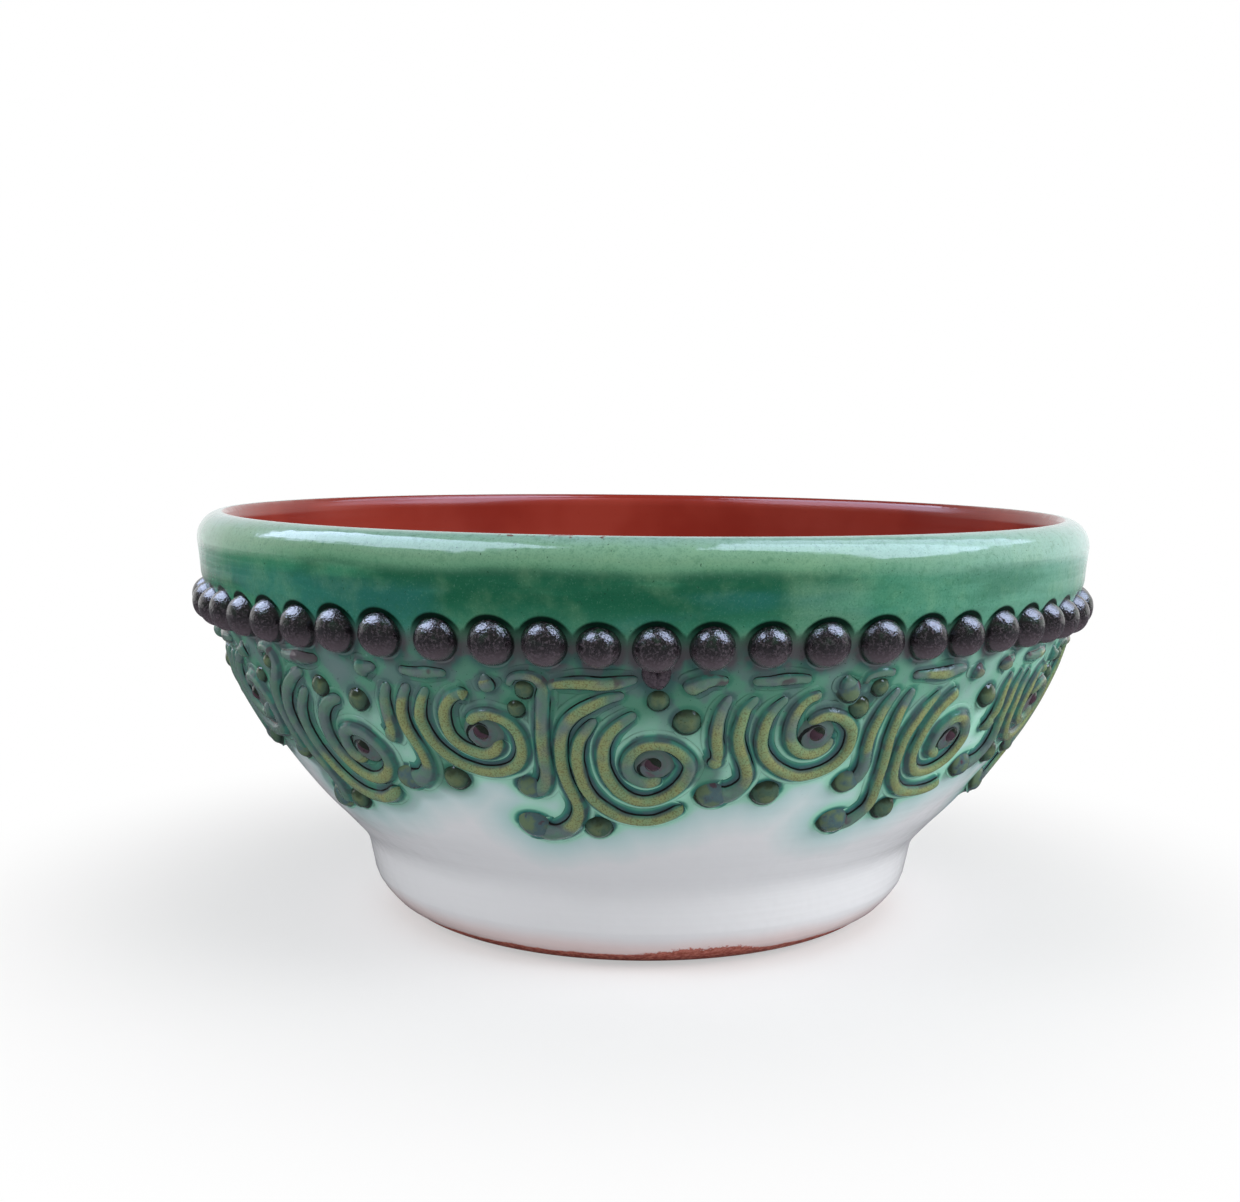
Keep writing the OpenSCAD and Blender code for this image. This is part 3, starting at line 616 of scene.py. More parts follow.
def green_band(b, place, turn, z, height, right):
    """The lip and the band below it, darkest green in front and bluer on its left. Its pale bluish top has
    painted sky light, the paler green towards its right is partly a painted sheen, and its far outlines have a
    painted reflection
    """
    # The pale bluish stops at the top of the lip are the thinned glaze with painted sky light on it
    green = b.ramp((height - 74.0) / 26.0, [
        (0.0, "#4d8a72"), (0.20, "#478a70"), (0.36, "#387f65"), (0.50, "#297356"), (0.66, "#33775a"),
        (0.745, "#5f9273"), (0.81, "#6b9679"), (0.90, "#79a58b"), (0.97, "#8ab2ab"), (1.0, "#9ac0c2")])
    # Paler green towards the right side: partly the glaze's own colour, partly a painted sheen
    green = b.mix(right * 0.75, green, b.mix((height - 91.0).ease(-1.5, 4.0), "#6f9f8e", "#88b3ab"))
    # A painted pale reflection along the far left and right outlines of the band
    green = b.mix(turn.size().ease(52.0, 80.0) * (height - 84.0).ease(0.0, 10.0) * 0.6, green, "#aecacd")
    streak = round_noise(b, turn, 0.055, z * 0.16, 0.0, 1.0, 4.0, 0.5)
    front = (turn + 7.0).size().ease(48.0, 12.0) * 0.22
    deep = (streak + front).ease(0.47, 0.66) * (height - 80.0).ease(0.0, 7.0) * (height - 93.6).ease(0.8, -2.0)
    green = b.mix(deep * (0.68 - right * 0.45), green, "#08412d")
    light = (turn - 19.5).size().ease(6.0, 2.5) * (height - 91.0).ease(1.5, -2.0)
    green = b.mix(light * 0.5, green, "#69987f")
    left = (turn + 38.0).size().ease(24.0, 8.0) * 0.2
    teal = round_noise(b, turn, 0.05, z * 0.10, 4.0, 1.0, 2.0)
    teal = (teal + left).ease(0.54, 0.70) * (height - 91.0).ease(0.5, -3.0)
    green = b.mix(teal * 0.55, green, "#2b6a67")
    green = b.mix(b.noise(place, 0.12, 4.0, 0.6).ease(0.45, 0.75) * 0.2, green, "#83ac84")
    green = b.mix(b.noise(place, 0.55, 4.0, 0.7).ease(0.48, 0.72) * 0.35, green, "#2f6a4d")
    grain = b.noise(place, 2.4, 3.0, 0.7)
    green = b.mix(grain.ease(0.50, 0.66) * 0.26, green, "#1f5c44")
    return b.mix(grain.ease(0.44, 0.30) * 0.14, green, "#7db399")


def glazed_ground(b, turn, z, height, right, gap, closeness, run, cool):
    """The open wall round the slip, and the closed ground between the strokes, which darkens close to them:
    pooled glaze with painted crease shade
    """
    room = fact(b, "room")
    open_wall = b.ramp(gap * (0.7 + run * 0.6) / 12.5, [
        (0.0, "#456f63"), (0.02, "#689a89"), (0.05, "#8bb5aa"), (0.10, "#a0c2be"), (0.20, "#acc9c8"),
        (0.36, "#b9cfd0"), (0.60, "#c9d5d7"), (1.0, WHITE_SLIP)])
    # Closed ground darkens towards the strokes: the glaze pools there, and crease shade is painted with it
    closed = b.ramp(closeness / 3.0, [
        (0.0, "#254547"), (0.05, "#305a5c"), (0.14, "#38776c"), (0.24, "#569984"), (0.38, "#8fc7b1"),
        (1.0, "#a4d2c2")])
    # Slate close to the strokes where the cool noise is high: pooled glaze with painted shade
    closed = b.mix(cool * gap.ease(1.1, 0.3) * 0.75, closed, "#475d63")
    wall = b.mix(room.ease(2.9, 1.5), open_wall, closed)
    murk = (height - 61.0).ease(-5.0, 6.0)
    dusk = (turn + 22.0).ease(0.0, -20.0) * turn.ease(-178.0, -120.0)
    dusk = dusk * (height - 38.0).ease(-4.0, 6.0) * room.ease(5.0, 3.4) * 0.8
    for at, low, wide in POOLS:
        away = ((turn - at) * 1.6) ** 2.0 + (z - low) ** 2.0
        dusk = dusk.larger(away.root().ease(wide, wide * 0.45) * 0.9)
    return b.mix(murk.larger(dusk) * (0.88 - right * 0.5), wall, b.mix(cool, "#417460", "#48605f"))


def glaze(b, gap=None, hollow=None):
    """Colour of the glaze at a place: green at the lip, teal round the slip, and white below"""
    place = b.scaled(b.add("ShaderNodeTexCoord", None, None, "Object"), 1000.0)
    x, y, z = b.split(place)
    turn = x.maths("ARCTAN2", 0.0 - y) * (180 / math.pi)
    gap = gap or fact(b, "gap")
    # On one side of a stroke's bend the ground counts as closer, so it is darker there: deeper glaze with
    # painted shade on that side
    closeness = gap * (1.0 - hollow * 0.25) - hollow * 0.12 if hollow else gap
    soft = b.noise(place, 0.05, 3.0)
    height = z + (soft - 0.5) * 3.0
    right = turn.ease(9.0, 62.0) * turn.ease(178.0, 120.0)
    run = round_noise(b, turn, 0.35, z * 0.05, 0.0, 0.5, 3.0)
    cool = b.noise(place, 0.22, 2.0).ease(0.42, 0.58)
    wall = glazed_ground(b, turn, z, height, right, gap, closeness, run, cool)
    wall = b.mix((height - 77.5).ease(-2.5, 3.5), wall, green_band(b, place, turn, z, height, right))

    # Below, between and above the pearls
    pearl_gap = fact(b, "pearl_gap")
    stain = (height - 79.5).ease(3.0, -2.0) * (height - 66.0).ease(0.0, 4.0)
    stain = stain * (pearl_gap + (run - 0.5) * 3.0).ease(3.0, 0.2)
    wall = b.mix(stain * 0.85, wall, b.mix((cool + (height - 75.0) * 0.25).within(), "#3c5a5a", "#574d55"))
    arc = pearl_gap.ease(1.35, 0.75) * (z - 79.0).ease(-1.5, 4.0)
    wall = b.mix(arc, wall, "#021a12")

    thin = (height - 4.5).ease(5.5, 0.5)
    wall = b.mix(thin * 0.75, wall, "#dfc9c6")
    pepper = b.noise(place, 1.9, 2.0).ease(0.69, 0.74)
    wall = b.mix(pepper * 0.7 * (height - 40.0).ease(-4.0, 30.0), wall, "#16352a")
    return wall, place, z, turn


def glossy(b, colour, rough, bump=None, gloss=1.22):
    inputs = {"Base Color": colour, "Roughness": rough, "IOR": gloss}
    if bump is not None:
        inputs["Normal"] = bump
    return b.add("ShaderNodeBsdfPrincipled", None, inputs)


def surface(name):
    material = bpy.data.materials.new(name)
    material.use_nodes = True
    material.node_tree.nodes.clear()
    return material, Bench(material.node_tree)


def painted(b, shader):
    b.add("ShaderNodeOutputMaterial", None, {"Surface": shader}, None)


def bumped(b, height, depth):
    return b.add("ShaderNodeBump", None, {"Strength": 1.0, "Distance": depth * MM, "Height": height})


def fact(b, name):
    return b.add("ShaderNodeAttribute", {"attribute_name": name}, None, "Fac")


def slip_and_glaze():
    """White slip under clear glaze, green from the lip down to the scrolls"""
    material, b = surface("slip_and_glaze")
    colour, place, z, turn = glaze(b)
    x, y, _ = b.split(place)
    radius = (x * x + y * y).root()
    grain = b.noise(place, 0.9, 4.0, 0.6)
    ragged = round_noise(b, turn, 1.0, 0.0, 0.0, 0.09, 4.0, 0.6)
    rubbed = (turn - 13.0).size().ease(16.0, 4.0)
    bare = (z - 2.6 - ragged * 2.4 - rubbed * 1.6 - (grain - 0.5) * (1.0 + rubbed * 3.0)).ease(0.25, -0.25)
    clay = b.mix(grain.ease(0.35, 0.65), "#90493c", "#bb7466")
    inner = (radius - 104.2 + (ragged - 0.5) * 0.8).ease(0.25, -0.25) * (z - 90.0).ease(0.0, 1.0)
    chip = b.noise(b.joined(turn * 1.1, radius * 0.9, z * 0.9), 1.0, 2.0).ease(0.54, 0.59)
    chip = chip * (radius - 106.4).ease(0.5, -0.5)
    chip = chip * (turn + 9.0).size().ease(8.0, 5.0) * (z - 98.0).ease(0.0, 0.6)
    colour = b.mix(chip, colour, "#5a2f28")
    colour = b.mix(inner, colour, "#8f2e22")
    colour = b.mix(bare, colour, clay)
    throwing = b.noise(b.joined(0.0, 0.0, z), 0.35, 2.0) + b.noise(place, 0.12, 2.0) * 1.5
    bump = bumped(b, throwing + bare * (grain - 1.0) * 0.6, 0.16)
    wall, lip = glossy(b, colour, bare * 0.5 + 0.16, bump), glossy(b, colour, 0.12, bump, 1.5)
    painted(b, b.add("ShaderNodeMixShader", None, {0: (z - 91.0).ease(0.0, 2.0), 1: wall, 2: lip}))
    return material


def trailed_slip():
    """Green glaze over raised slip: olive where it thins on the crest, dark where it pools in the crease, and a
    near-black hairline there that is pooled glaze with a painted dark reflection
    """
    material, b = surface("trailed_slip")
    across = fact(b, "across")
    edge = across.size()
    up = across * fact(b, "side_up")
    hollow = across * fact(b, "hollow")
    half = fact(b, "half") / MM
    ground, place, z, turn = glaze(b, ((edge - 1.0) * half.smaller(1.5)).larger(0.0), hollow)
    soft = b.noise(place, 0.30, 3.0)
    grain = b.noise(place, 2.8, 2.0, 0.6)
    crest = b.mix(soft.ease(0.30, 0.70), "#748f69", "#848d60")
    crest = b.mix(grain.ease(0.50, 0.60) * 0.55, crest, "#5a5234")
    cool = b.noise(place, 0.08, 2.0, 0.5) + (z - 58.0) * 0.008 + (half - 1.6).larger(0.0) * 0.2
    cool = cool + (turn + 20.0).ease(0.0, -26.0) * turn.ease(-178.0, -120.0) * 0.2
    cool = cool + fact(b, "tail").ease(16.0, 5.0) * 0.28 + fact(b, "lead").ease(0.7, 0.0) * 0.2
    cool = cool.ease(0.52, 0.68)
    slate = b.mix(soft.ease(0.4, 0.62), "#55756a", "#596c70")
    crest = b.mix(cool * 0.9, crest, slate)
    side = b.mix(soft.ease(0.4, 0.62), "#3a7266", "#42575a")
    line = b.mix((edge + (soft - 0.5) * 0.3 - hollow * 0.14).ease(0.50, 0.90), crest, side)
    thick = (half.ease(1.9, 2.6) + (z - 69.0).ease(0.0, 3.0)).within()
    purple = b.noise(place, 0.17, 2.0).ease(0.56, 0.62) * thick
    line = b.mix(purple * 0.8, line, "#4b3a45")
    # A near-black hairline at the edge of each stroke: glaze pooled in the crease, with a painted dark
    # reflection of its steep glossy side
    hairline_share = (0.62 + hollow * 0.7 + up * 0.4 + (b.noise(place, 0.13, 1.0) - 0.5) * 2.4).within()
    dark_pool_and_reflection = edge.ease(0.89, 0.95) * edge.ease(1.12, 1.06) * hairline_share
    colour = b.mix(edge.ease(0.98, 1.10), line, ground)
    colour = b.mix(dark_pool_and_reflection, colour, "#000805")
    painted(b, glossy(b, colour, 0.10, bumped(b, b.noise(place, 0.9, 3.0), 0.16), 1.5))
    return material


def dotted_slip():
    """Dots of slip under the same glaze, with a dark foot: glaze pooled round it, with a painted dark
    reflection
    """
    material, b = surface("dotted_slip")
    across = fact(b, "across")
    kind = fact(b, "kind")
    ground, place, _, _ = glaze(b)
    soft = b.noise(place, 0.35, 3.0)
    grain = b.noise(place, 2.2, 3.0, 0.65)
    crest = b.mix(soft.ease(0.35, 0.65), "#40584a", "#5b6a4c")
    crest = b.mix(grain.ease(0.58, 0.70) * 0.5, crest, "#2a3220")
    aslant, high = fact(b, "aslant"), fact(b, "high")
    dot = b.mix(across.ease(0.5, 0.95), crest, "#3b5546")
    dot = b.mix((high + (soft - 0.5) * 1.4).ease(0.0, 0.55) * 0.8, dot, "#142216")
    turned = aslant.maths("ARCTAN2", high) / (2 * math.pi)
    winding = (turned + across * 1.25 + (soft - 0.5) * 0.3).maths("FRACT")
    thread = (winding - 0.5).size().ease(0.13, 0.07) * across.ease(0.45, 0.6) * across.ease(0.96, 0.9)
    disc = b.mix(across.ease(0.3, 0.9), b.mix(soft.ease(0.46, 0.56), "#545c63", "#5a4b56"), "#5a6e69")
    disc = b.mix(winding.ease(0.5, 0.9) * 0.5, disc, "#4a6a60")
    disc = b.mix(thread, disc, "#06110e")
    dot = b.mix(kind, dot, disc)
    crescent = (aslant + high * 1.4 + (soft - 0.5) * 1.2).ease(-0.25, 0.05)
    dot = b.mix(kind - DISC, dot, b.mix(crescent, "#3f2c36", "#141f15"))
    bulb = b.mix((soft + high * 0.12).ease(0.38, 0.58), "#5b6f55", "#465d62")
    dot = b.mix(kind - EYE, dot, b.mix(soft.ease(0.60, 0.68), bulb, "#4a3c45"))
    # A near-black line round each dot's foot: glaze pooled in the crease, with a painted dark reflection
    dark_pool_and_reflection = across.ease(0.84, 0.97) * across.ease(1.18, 1.04) * (kind - DISC).size().ease(0.0, 1.0)
    dark_pool_and_reflection = dark_pool_and_reflection * (1.0 - kind.ease(2.4, 2.6) * high.ease(-0.3, 0.3))
    colour = b.mix(across.ease(0.98, 1.14), dot, ground)
    colour = b.mix(dark_pool_and_reflection * 0.8, colour, "#00140f")
    groove = thread * kind.ease(1.4, 1.0) * kind.ease(0.6, 1.0)
    painted(b, glossy(b, colour, 0.09, bumped(b, b.noise(place, 0.9, 2.0) - groove, 0.12), 1.6))
    return material


def pearl_slip():
    """Dark manganese glaze with a pewter sheen, with a painted green reflection on top and paler purple below,
    where a reflection of the floor is painted
    """
    material, b = surface("pearl_slip")
    across = fact(b, "across")
    ground, place, _, _ = glaze(b)
    soft = b.noise(place, 0.45, 4.0, 0.6)
    grain = b.noise(place, 1.6, 4.0, 0.7)
    high = fact(b, "high")
    # Paler purple-grey towards the bottom and near black above: the glaze with a painted reflection of the
    # floor below and of the dim room in front
    body = b.mix(high.ease(-0.8, 0.2), "#554a51", "#131215")
    body = b.mix(grain.ease(0.48, 0.62) * 0.5, body, "#5b525a")
    # A painted green reflection on the pearl's upper half
    body = b.mix(soft.ease(0.50, 0.62) * high.ease(0.0, 0.7) * 0.6, body, "#1c3a2a")
    body = b.mix(fact(b, "kind"), body, b.mix(grain.ease(0.4, 0.6), "#372e36", "#4c424a"))
    # A near-black ring round the pearl's foot: glaze pooled in the crease, with painted crease shade
    outline = across.ease(0.91, 0.97) * across.ease(1.05, 0.99)
    body = b.mix(outline * 0.9, body, "#040506")
    pearl = {"Base Color": body, "Roughness": 0.07 + grain * 0.14, "IOR": 1.8,
             "Normal": bumped(b, b.noise(place, 1.9, 2.0), 0.13)}
    pearl = b.add("ShaderNodeBsdfPrincipled", None, pearl)
    beside = across.ease(1.02, 1.07) * across.ease(1.16, 1.09) * high.ease(0.3, -0.2)
    ground = b.mix(beside * 0.35, ground, "#7c8685")
    painted(b, b.add("ShaderNodeMixShader", None, {0: (across + high * 0.03).ease(0.965, 1.01), 1: pearl,
                                                   2: glossy(b, ground, 0.18, None, 1.18)}))
    return material


def red_earthenware():
    """Red clay under a clear gloss glaze inside the bowl, bare and matt under the foot"""
    material, b = surface("red_earthenware")
    place = b.scaled(b.add("ShaderNodeTexCoord", None, None, "Object"), 1000.0)
    x, y, z = b.split(place)
    radius = (x * x + y * y).root()
    soft = b.noise(place, 0.03, 3.0)
    grain = b.noise(place, 0.8, 4.0, 0.6)
    glazed = b.mix(soft.ease(0.35, 0.65), "#87271a", "#963629")
    glazed = b.mix(grain.ease(0.62, 0.75) * 0.3, glazed, "#6b1408")
    bare = b.mix(grain.ease(0.35, 0.65), "#7f4238", "#a76457")
    ring = (radius - 66.0).size().ease(20.0, 16.0) * (z - 8.0).ease(0.5, -0.5)
    under = (z - 12.0).ease(0.6, -0.6).larger(ring)
    throwing = b.noise(b.joined(radius, z, 0.0), 0.10, 2.0)
    bump = bumped(b, throwing * (1.0 - under) + grain * under * 0.5, 0.25)
    painted(b, glossy(b, b.mix(under, glazed, bare), under * 0.5 + 0.24, bump, 1.4))
    return material


# The trailed scrolls, one piece for each

def in_scroll(turn, u, v):
    """Turn and height on the bowl of a point that is given as shares of its scroll"""
    return turn + u * PAIR_TURN, BAND_LOW + v * BAND_H


def trail(turn, drawing, seed):
    """Guide points of every line of one scroll, half a millimetre apart and closer at the rounded ends"""
    points, edges = [], []
    names = ("off", "aside", "half", "lift", "side_up", "hollow", "line", "tail", "lead")
    facts = {name: [] for name in names}
    for k, stroke in enumerate(drawing):
        fine = spline(stroke, 10)
        flat = np.stack([fine[:, 0] * PAIR_ARC, fine[:, 1] * BAND_H], 1)
        whole = length(flat)
        ends = [0, 0.03, 0.12, 0.28, 0.5, 0.8]
        middle = np.linspace(1.15, whole - 1.15, max(int(whole / 0.55), 2))
        gaps = np.array(ends + list(middle) + [whole - e for e in reversed(ends)])
        u, v, w = spaced_by(fine, reaches(flat), gaps).T
        turns, heights = in_scroll(turn, u, v)
        place, away = on_coat(turns, heights), off_coat(turns, heights)
        ahead = np.gradient(place, axis=0)
        aside = np.cross(ahead, away)
        aside /= np.linalg.norm(aside, axis=1)[:, None]
        heading = np.unwrap(np.arctan2(np.gradient(v * BAND_H), np.gradient(u * PAIR_ARC)))
        bend = np.convolve(np.gradient(heading) / np.gradient(gaps), np.ones(7) / 7, "same")
        first = len(points)
        points += list(place * MM)
        edges += [(first + i, first + i + 1) for i in range(len(place) - 1)]
        lead = (gaps / 7.0).clip(0.0, 1.0)
        if whole < 25:
            lead = np.minimum(lead, ((whole - gaps) / 5.0).clip(0.0, 1.0))
        lead = np.where(w > 1.05, 1.0, lead)
        signed = (turns + 180) % 360 - 180
        left = ((-24 - signed) / 12).clip(0.0, 1.0) * ((signed + 115) / 25).clip(0.0, 1.0)
        full = (w + (w - 1.0).clip(0.0) * 0.2) * (0.72 + 0.28 * lead) * (1 + 0.16 * left)
        lift = np.minimum(w, 1.0) * LINE_RISE * MM * (0.45 + 0.55 * lead)
        tail = whole - gaps if whole > 60 or w[-1] > BULB_W else 99 + 0 * gaps
        for name, values in zip(names, (away, aside, full * LINE_W / 2 * MM * 1.18, lift, aside[:, 2],
                                        -np.tanh(bend * 9), 0 * gaps + seed + k, tail, lead)):
            facts[name] += list(values)
    return points, edges, facts


def collect(name, pieces):
    group = bpy.data.collections.new(name)
    bpy.context.scene.collection.children.link(group)
    for piece in pieces:
        group.objects.link(piece)
    return group


trailed = trailed_recipe()
trailed_paint = trailed_slip()
scrolls = []
for number, (node, turn, drawing, dots) in enumerate(SCROLLS):
    points, edges, facts = trail(turn, drawing, number * 10)
    scroll = guide("trailed_" + node, points, edges, **facts)
    made(scroll, trailed, Corners=32, Skirt=2.0, Brim=0.0015, Unevenness=0.12, Material=trailed_paint)
    scrolls.append(scroll)

# Slip dots: a bulb where a line ends thick, every drawing's own dots, and a low disc under each eye where
# the spiral's turns ran together
dot_places = []
for node, turn, drawing, dots in SCROLLS:
    for stroke in drawing:
        share_u, share_v, share_w = stroke[-1]
        if share_w <= BULB_W:
            continue
        back_u, back_v = stroke[-2][0] - share_u, stroke[-2][1] - share_v
        lean = math.degrees(math.atan2(back_u * PAIR_ARC, back_v * BAND_H))
        wide = LINE_W / 2 * (0.7 + share_w)
        dot_places.append(in_scroll(turn, share_u, share_v) + (wide, 2.5, BULB, wide * 1.12, lean))
    for share_u, share_v, share_w in dots[:-1]:
        wide = DOT_D * share_w / 2 * 1.22
        rise = DOT_RISE * share_w + 0.6
        dot_places.append(in_scroll(turn, share_u, share_v) + (wide, rise, PLAIN, wide, 0.0))
    eye = in_scroll(turn, *dots[-1][:2])
    dot_places.append((eye[0], eye[1] + 0.4, 2.3, 2.6, EYE, 2.3, 0.0))
    dot_places.append(eye + (4.5, 1.9, DISC, 4.5, (turn * 7.3) % 90))
dot_places = np.array(dot_places)


def domes(name, table, recipe, material, tip=0.0, sunk=0.0, **sizes):
    """Domes at the places of a table: turn, height, half width, rise, kind, half height and lean.
    Their axes tip up from the wall by some degrees, and their feet are sunk into it."""
    turns, heights = table[:, 0], table[:, 1]
    away = off_coat(turns, heights)
    a = np.radians(turns)
    across = np.stack([np.cos(a), np.sin(a), 0 * a], 1)
    lean = np.radians(table[:, 6])[:, None]
    tip = np.radians(tip) + 0 * lean
    axis = away * np.cos(tip) + np.cross(away, across) * np.sin(tip)
    up = np.cross(axis, across) * np.cos(lean) + across * np.sin(lean)
    piece = guide(name, (on_coat(turns, heights) - away * sunk) * MM, off=axis, up=up, wide=table[:, 2] * MM,
                  tall=table[:, 5] * MM, lift=table[:, 3] * MM, kind=table[:, 4])
    return made(piece, recipe, Material=material, **sizes)


domed = domed_recipe()
tips = np.where(dot_places[:, 4:5] == DISC, 0.0, 26.0)
dots_piece = domes("dots_of_slip", dot_places, domed, dotted_slip(), tips, 0.6, Facets=24, Rings=11,
                   Skirt=1.22, Fullness=2.2, Unevenness=0.0003)

# Pearls: those that the photo shows, by turn, width, height and drop, and the rest as they come
SHOWN_PEARLS = [
    (-59, 9.2, 10.2, 0.0), (-53, 9.0, 10.0, 0.1), (-47, 9.3, 10.2, 0.0), (-41, 9.2, 10.0, 0.1),
    (-35, 9.4, 10.4, 0.0), (-28.8, 9.6, 10.2, 0.0), (-21.9, 9.2, 9.8, 0.1), (-15.7, 9.3, 10.2, 0.1),
    (-10, 9.0, 10.0, 0.0), (-4.4, 8.5, 9.0, 0.4), (1.5, 9.2, 10.2, 0.6), (7.2, 8.7, 9.7, 0.4),
    (13.2, 8.7, 9.2, 0.2), (19.5, 9.7, 10.2, 0.1), (25.9, 9.8, 10.2, 0.0), (31.9, 8.9, 9.8, 0.0),
    (37.5, 8.9, 9.8, 0.1), (43.7, 9.2, 10.0, 0.0), (49.5, 9.0, 9.8, 0.0), (54.9, 8.9, 9.9, 0.0),
    (60.6, 9.2, 10.0, 0.1)]
PEARL_RISE = 5.0
OTHER_PEARLS, FIRST_TURN, LAST_TURN = 39, 67.5, 295.0


def pearl(turn, wide, tall, drop):
    return (turn, ROW_H - drop - 0.4, wide * 0.52, PEARL_RISE, PLAIN, tall * 0.48, 0.0)


chance = np.random.default_rng(7)
pearl_places = [pearl(*row) for row in SHOWN_PEARLS]
for step in range(OTHER_PEARLS):
    turn = FIRST_TURN + step * (LAST_TURN - FIRST_TURN) / (OTHER_PEARLS - 1)
    wide, tall, drop, slip = chance.uniform((8.7, 9.5, -0.1, -0.35), (9.6, 10.2, 0.4, 0.35))
    pearl_places.append(pearl(turn + slip, wide, tall, drop))
# Two drips below the pearl in the middle
pearl_places += [(0.9, 72.6, 1.7, 2.0, DRIP, 2.9, -22.0), (2.2, 72.4, 1.6, 2.0, DRIP, 2.9, 20.0)]
pearls_piece = domes("pearls_of_slip", np.array(pearl_places), domed, pearl_slip(), 8.0, 0.7, Facets=32,
                     Rings=18, Skirt=1.2, Fullness=2.3, Unevenness=0.0007)

# The clay body and the coat, thrown from their outlines
thrown = thrown_recipe()


def outline(name, line):
    return guide(name, [(r * MM, h * MM, 0.0) for r, h in line])


lip_inside = quarter((crown_r, BOWL_H - COAT_T - LIP_DROP), crown_r - (RIM_R - LIP_T), LIP_DROP, 90, 180)
inner_heights = BOWL_H * np.linspace(0.89, 0.45, 24)
inner_wall = np.stack([np.interp(inner_heights, wall_line[:, 1], wall_line[:, 0]) - WALL_T, inner_heights], 1)
haunch = inner_wall[-1]
haunch_dir = (haunch - inner_wall[-2]) / np.linalg.norm(haunch - inner_wall[-2])
pulls = [haunch, haunch + HAUNCH_PULL * haunch_dir, np.array([FLOOR_FLAT_R, FLOOR_H]), np.array([0.0, FLOOR_H])]
floor_line = np.array([(1 - t) ** 3 * pulls[0] + 3 * (1 - t) ** 2 * t * pulls[1]
                       + 3 * (1 - t) * t * t * pulls[2] + t ** 3 * pulls[3] for t in np.linspace(0, 1, 33)[1:]])
recess_r, recess_h = RECESS
under = [(0, recess_h), (15, recess_h), (31, recess_h), (recess_r - WORN, recess_h),
         (recess_r - WORN / 4, recess_h - WORN / 4), (recess_r, recess_h - WORN), (recess_r, WORN),
         (recess_r + WORN / 4, WORN / 4), (recess_r + WORN, 0), (FACE_R - 0.6, 0)]
body_line = np.concatenate([np.array(under, float), wall_line[::3], wall_line[-1:], lip_inside, inner_wall,
                            floor_line])
body = made(outline("bowl_of_red_clay", body_line), thrown, Facets=360, Rings=len(body_line),
            Material=red_earthenware())

# The coat's rings are 0.85 mm apart between these heights, beside the slip, and wider apart elsewhere
CLOSE_RINGS = (28.0, 87.0)
low_line = wall_line[(wall_line[:, 1] > 1.6) & (wall_line[:, 1] < 3.0)] + np.array([0.15, 0.0])
up_line = coat_line[coat_line[:, 1] > 3.1]
tuck = quarter((crown_r, BOWL_H - COAT_T - LIP_DROP), -(crown_r - 102.7), LIP_DROP + COAT_T, 90, 38, 7)
face = np.concatenate([low_line, up_line, tuck])
reach = reaches(face)
below_lip = len(low_line) + len(up_line) - LIP_STEPS
start, stop = np.interp(CLOSE_RINGS, face[:below_lip, 1], reach[:below_lip])
gaps = np.concatenate([np.arange(0, start, 2.0), np.arange(start, stop, 0.85), np.arange(stop, reach[-1], 1.0),
                       [reach[-1]]])
face = spaced(face, gaps)
back = [(face[-1][0] + 0.3, face[-1][1] - 1.2), (104.3, 97.6), (107.5, 94.0), (107.6, 88.0)]
back += [(coat_r(h) - 1.4, h) for h in range(84, 14, -5)]
back += [(65.5, 10.0), (61.5, 4.5), (face[0][0] - 0.6, face[0][1] + 0.2)]
coat_outline = np.concatenate([face, np.array(back), face[:1]])
coat_paint = slip_and_glaze()
coat = made(outline("coat_of_slip_and_glaze", coat_outline), thrown, Facets=720, Rings=len(coat_outline),
            Material=coat_paint)
coat = made(coat, pooled_recipe(), Relief=collect("relief", scrolls + [dots_piece, pearls_piece]),
            Pearls=collect("pearl_row", [pearls_piece]), Spread=8,
            Material=coat_paint)
told = told_recipe()
for piece in scrolls + [dots_piece, pearls_piece]:
    made(piece, told, Coat=coat, Material=piece.data.materials[0])

# Each piece stands for its CAD node
for piece, node, slot in ([(body, "clay_body", "red_earthenware"), (coat, "slip_coat", "slip_and_glaze"),
                           (pearls_piece, "pearls", "pearl_slip"), (dots_piece, "slip_dots", "trailed_slip")]
                          + [(s, row[0], "trailed_slip") for s, row in zip(scrolls, SCROLLS)]):
    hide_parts(node)
    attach(piece, "root")


# Floor, world, lamps and camera

def pale_floor():
    material, b = surface("pale_floor")
    path = b.add("ShaderNodeLightPath", None, None, None)
    x, y, _ = b.split(b.add("ShaderNodeTexCoord", None, None, "Object"))
    radius = (x * x + y * y).root()
    mirrored = Wire(b, path.outputs["Is Glossy Ray"]).larger(Wire(b, path.outputs["Is Transmission Ray"]))
    seen = Wire(b, path.outputs["Is Camera Ray"]) * (radius.ease(0.08, 0.20) * 0.55 + 0.45)
    seen = seen.larger(mirrored * radius.ease(0.3, 1.2) * y.ease(-0.2, 0.4))
    lit = b.add("ShaderNodeBsdfDiffuse", None, {"Color": b.mix(mirrored, "#e6e6e8", "#6c6a70")})
    bright = b.add("ShaderNodeEmission", None, {"Color": (1, 1, 1, 1), "Strength": 1.0})
    painted(b, b.add("ShaderNodeMixShader", None, {0: seen, 1: lit, 2: bright}))
    return material


floor_mesh = bpy.data.meshes.new("floor")
floor_mesh.from_pydata([(-4, -4, 0), (4, -4, 0), (4, 4, 0), (-4, 4, 0)], [], [(0, 1, 2, 3)])
floor = bpy.data.objects.new("floor", floor_mesh)
floor.data.materials.append(pale_floor())
bpy.context.scene.collection.objects.link(floor)

PLAIN_LIGHT = 0.46
DAYLIGHT = (0.62, 0.72, 1.0)
# The windows look down at 50 degrees towards the middle: how far across and down, for each metre
ACROSS, DOWN = 0.643, 0.766

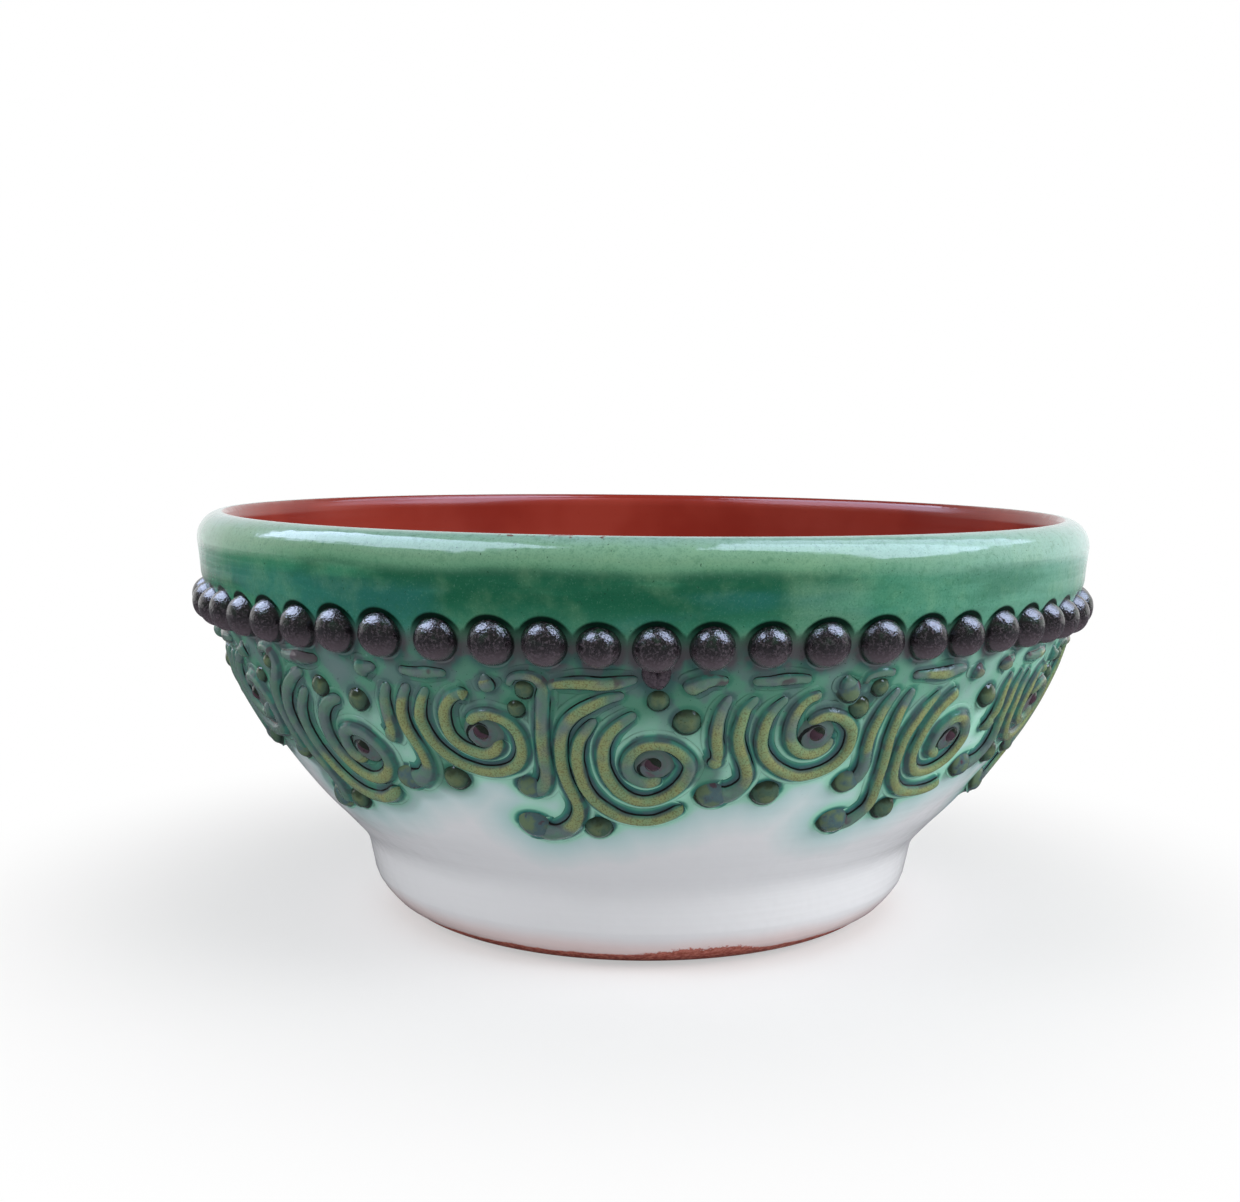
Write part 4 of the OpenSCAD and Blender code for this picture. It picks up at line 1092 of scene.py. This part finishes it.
world = bpy.data.worlds.new("studio")
bpy.context.scene.world = world
world.use_nodes = True
world.node_tree.nodes.clear()
w = Bench(world.node_tree)
path = w.add("ShaderNodeLightPath", None, None, None)
seen = Wire(w, path.outputs["Is Camera Ray"]).larger(Wire(w, path.outputs["Is Glossy Ray"]))
seen = seen.larger(Wire(w, path.outputs["Is Transmission Ray"]))
_, back, above = w.split(w.add("ShaderNodeTexCoord", None, None, "Generated"))
room_light = back.ease(-0.1, 0.35) * above.ease(0.75, 0.45) * 0.84 + 0.16
lit = Wire(w, path.outputs["Is Camera Ray"]).larger(room_light)
strength = PLAIN_LIGHT + seen * (lit - PLAIN_LIGHT)
sky = w.add("ShaderNodeBackground", None, {"Color": (1, 1, 1, 1), "Strength": strength})
w.add("ShaderNodeOutputWorld", None, {"Surface": sky}, None)


def lamp(name, place, aim, size, power, tint=(1, 1, 1), roll=0.0):
    light = bpy.data.lights.new(name, "AREA")
    light.shape = "RECTANGLE"
    light.size, light.size_y = size
    light.energy = power
    light.color = tint
    stand = bpy.data.objects.new(name, light)
    bpy.context.scene.collection.objects.link(stand)
    way = np.array(aim, float) - np.array(place, float)
    yaw, pitch = math.atan2(-way[0], way[1]), math.atan2(way[2], math.hypot(way[0], way[1]))
    stand.location = place
    stand.rotation_mode = "QUATERNION"
    stand.rotation_quaternion = (Quaternion((0, 0, 1), yaw) @ Quaternion((1, 0, 0), pitch + math.pi / 2)
                                 @ Quaternion((0, 0, 1), math.radians(roll)))
    return stand


lamp("light_left", (-0.85, -0.42, 0.60), (0, 0, 0.05), (0.55, 0.45), 5.0).visible_glossy = False
lamp("light_right", (0.85, -0.36, 0.52), (0, 0, 0.05), (0.6, 0.5), 8.2).visible_glossy = False
for name, place, size, power, roll in (("window_left", (-0.65, 0.0, 0.84), (1.15, 0.60), 16.5, 22.0),
                                       ("window_right", (0.605, -0.19, 0.90), (0.62, 0.98), 14.5, 0.0),
                                       ("window_right_back", (0.605, 0.345, 0.90), (0.45, 0.98), 4.4, 0.0)):
    aim = (place[0] - math.copysign(ACROSS, place[0]), place[1], place[2] - DOWN)
    lamp(name, place, aim, size, power, DAYLIGHT, roll).visible_diffuse = False

camera = bpy.data.objects.new("camera", bpy.data.cameras.new("camera"))
bpy.context.scene.collection.objects.link(camera)
camera.data.sensor_width = 36.0
camera.data.lens = 45.77
camera.data.shift_x = -0.01815
camera.data.clip_start = 0.01
camera.location = (0, -0.40305, 0.11854)
camera.rotation_mode = "QUATERNION"
pitch, roll = math.radians(90 - 6.015), math.radians(0.642)
camera.rotation_quaternion = Quaternion((1, 0, 0), pitch) @ Quaternion((0, 0, 1), roll)
bpy.context.scene.camera = camera
bpy.context.scene.view_settings.view_transform = "Standard"
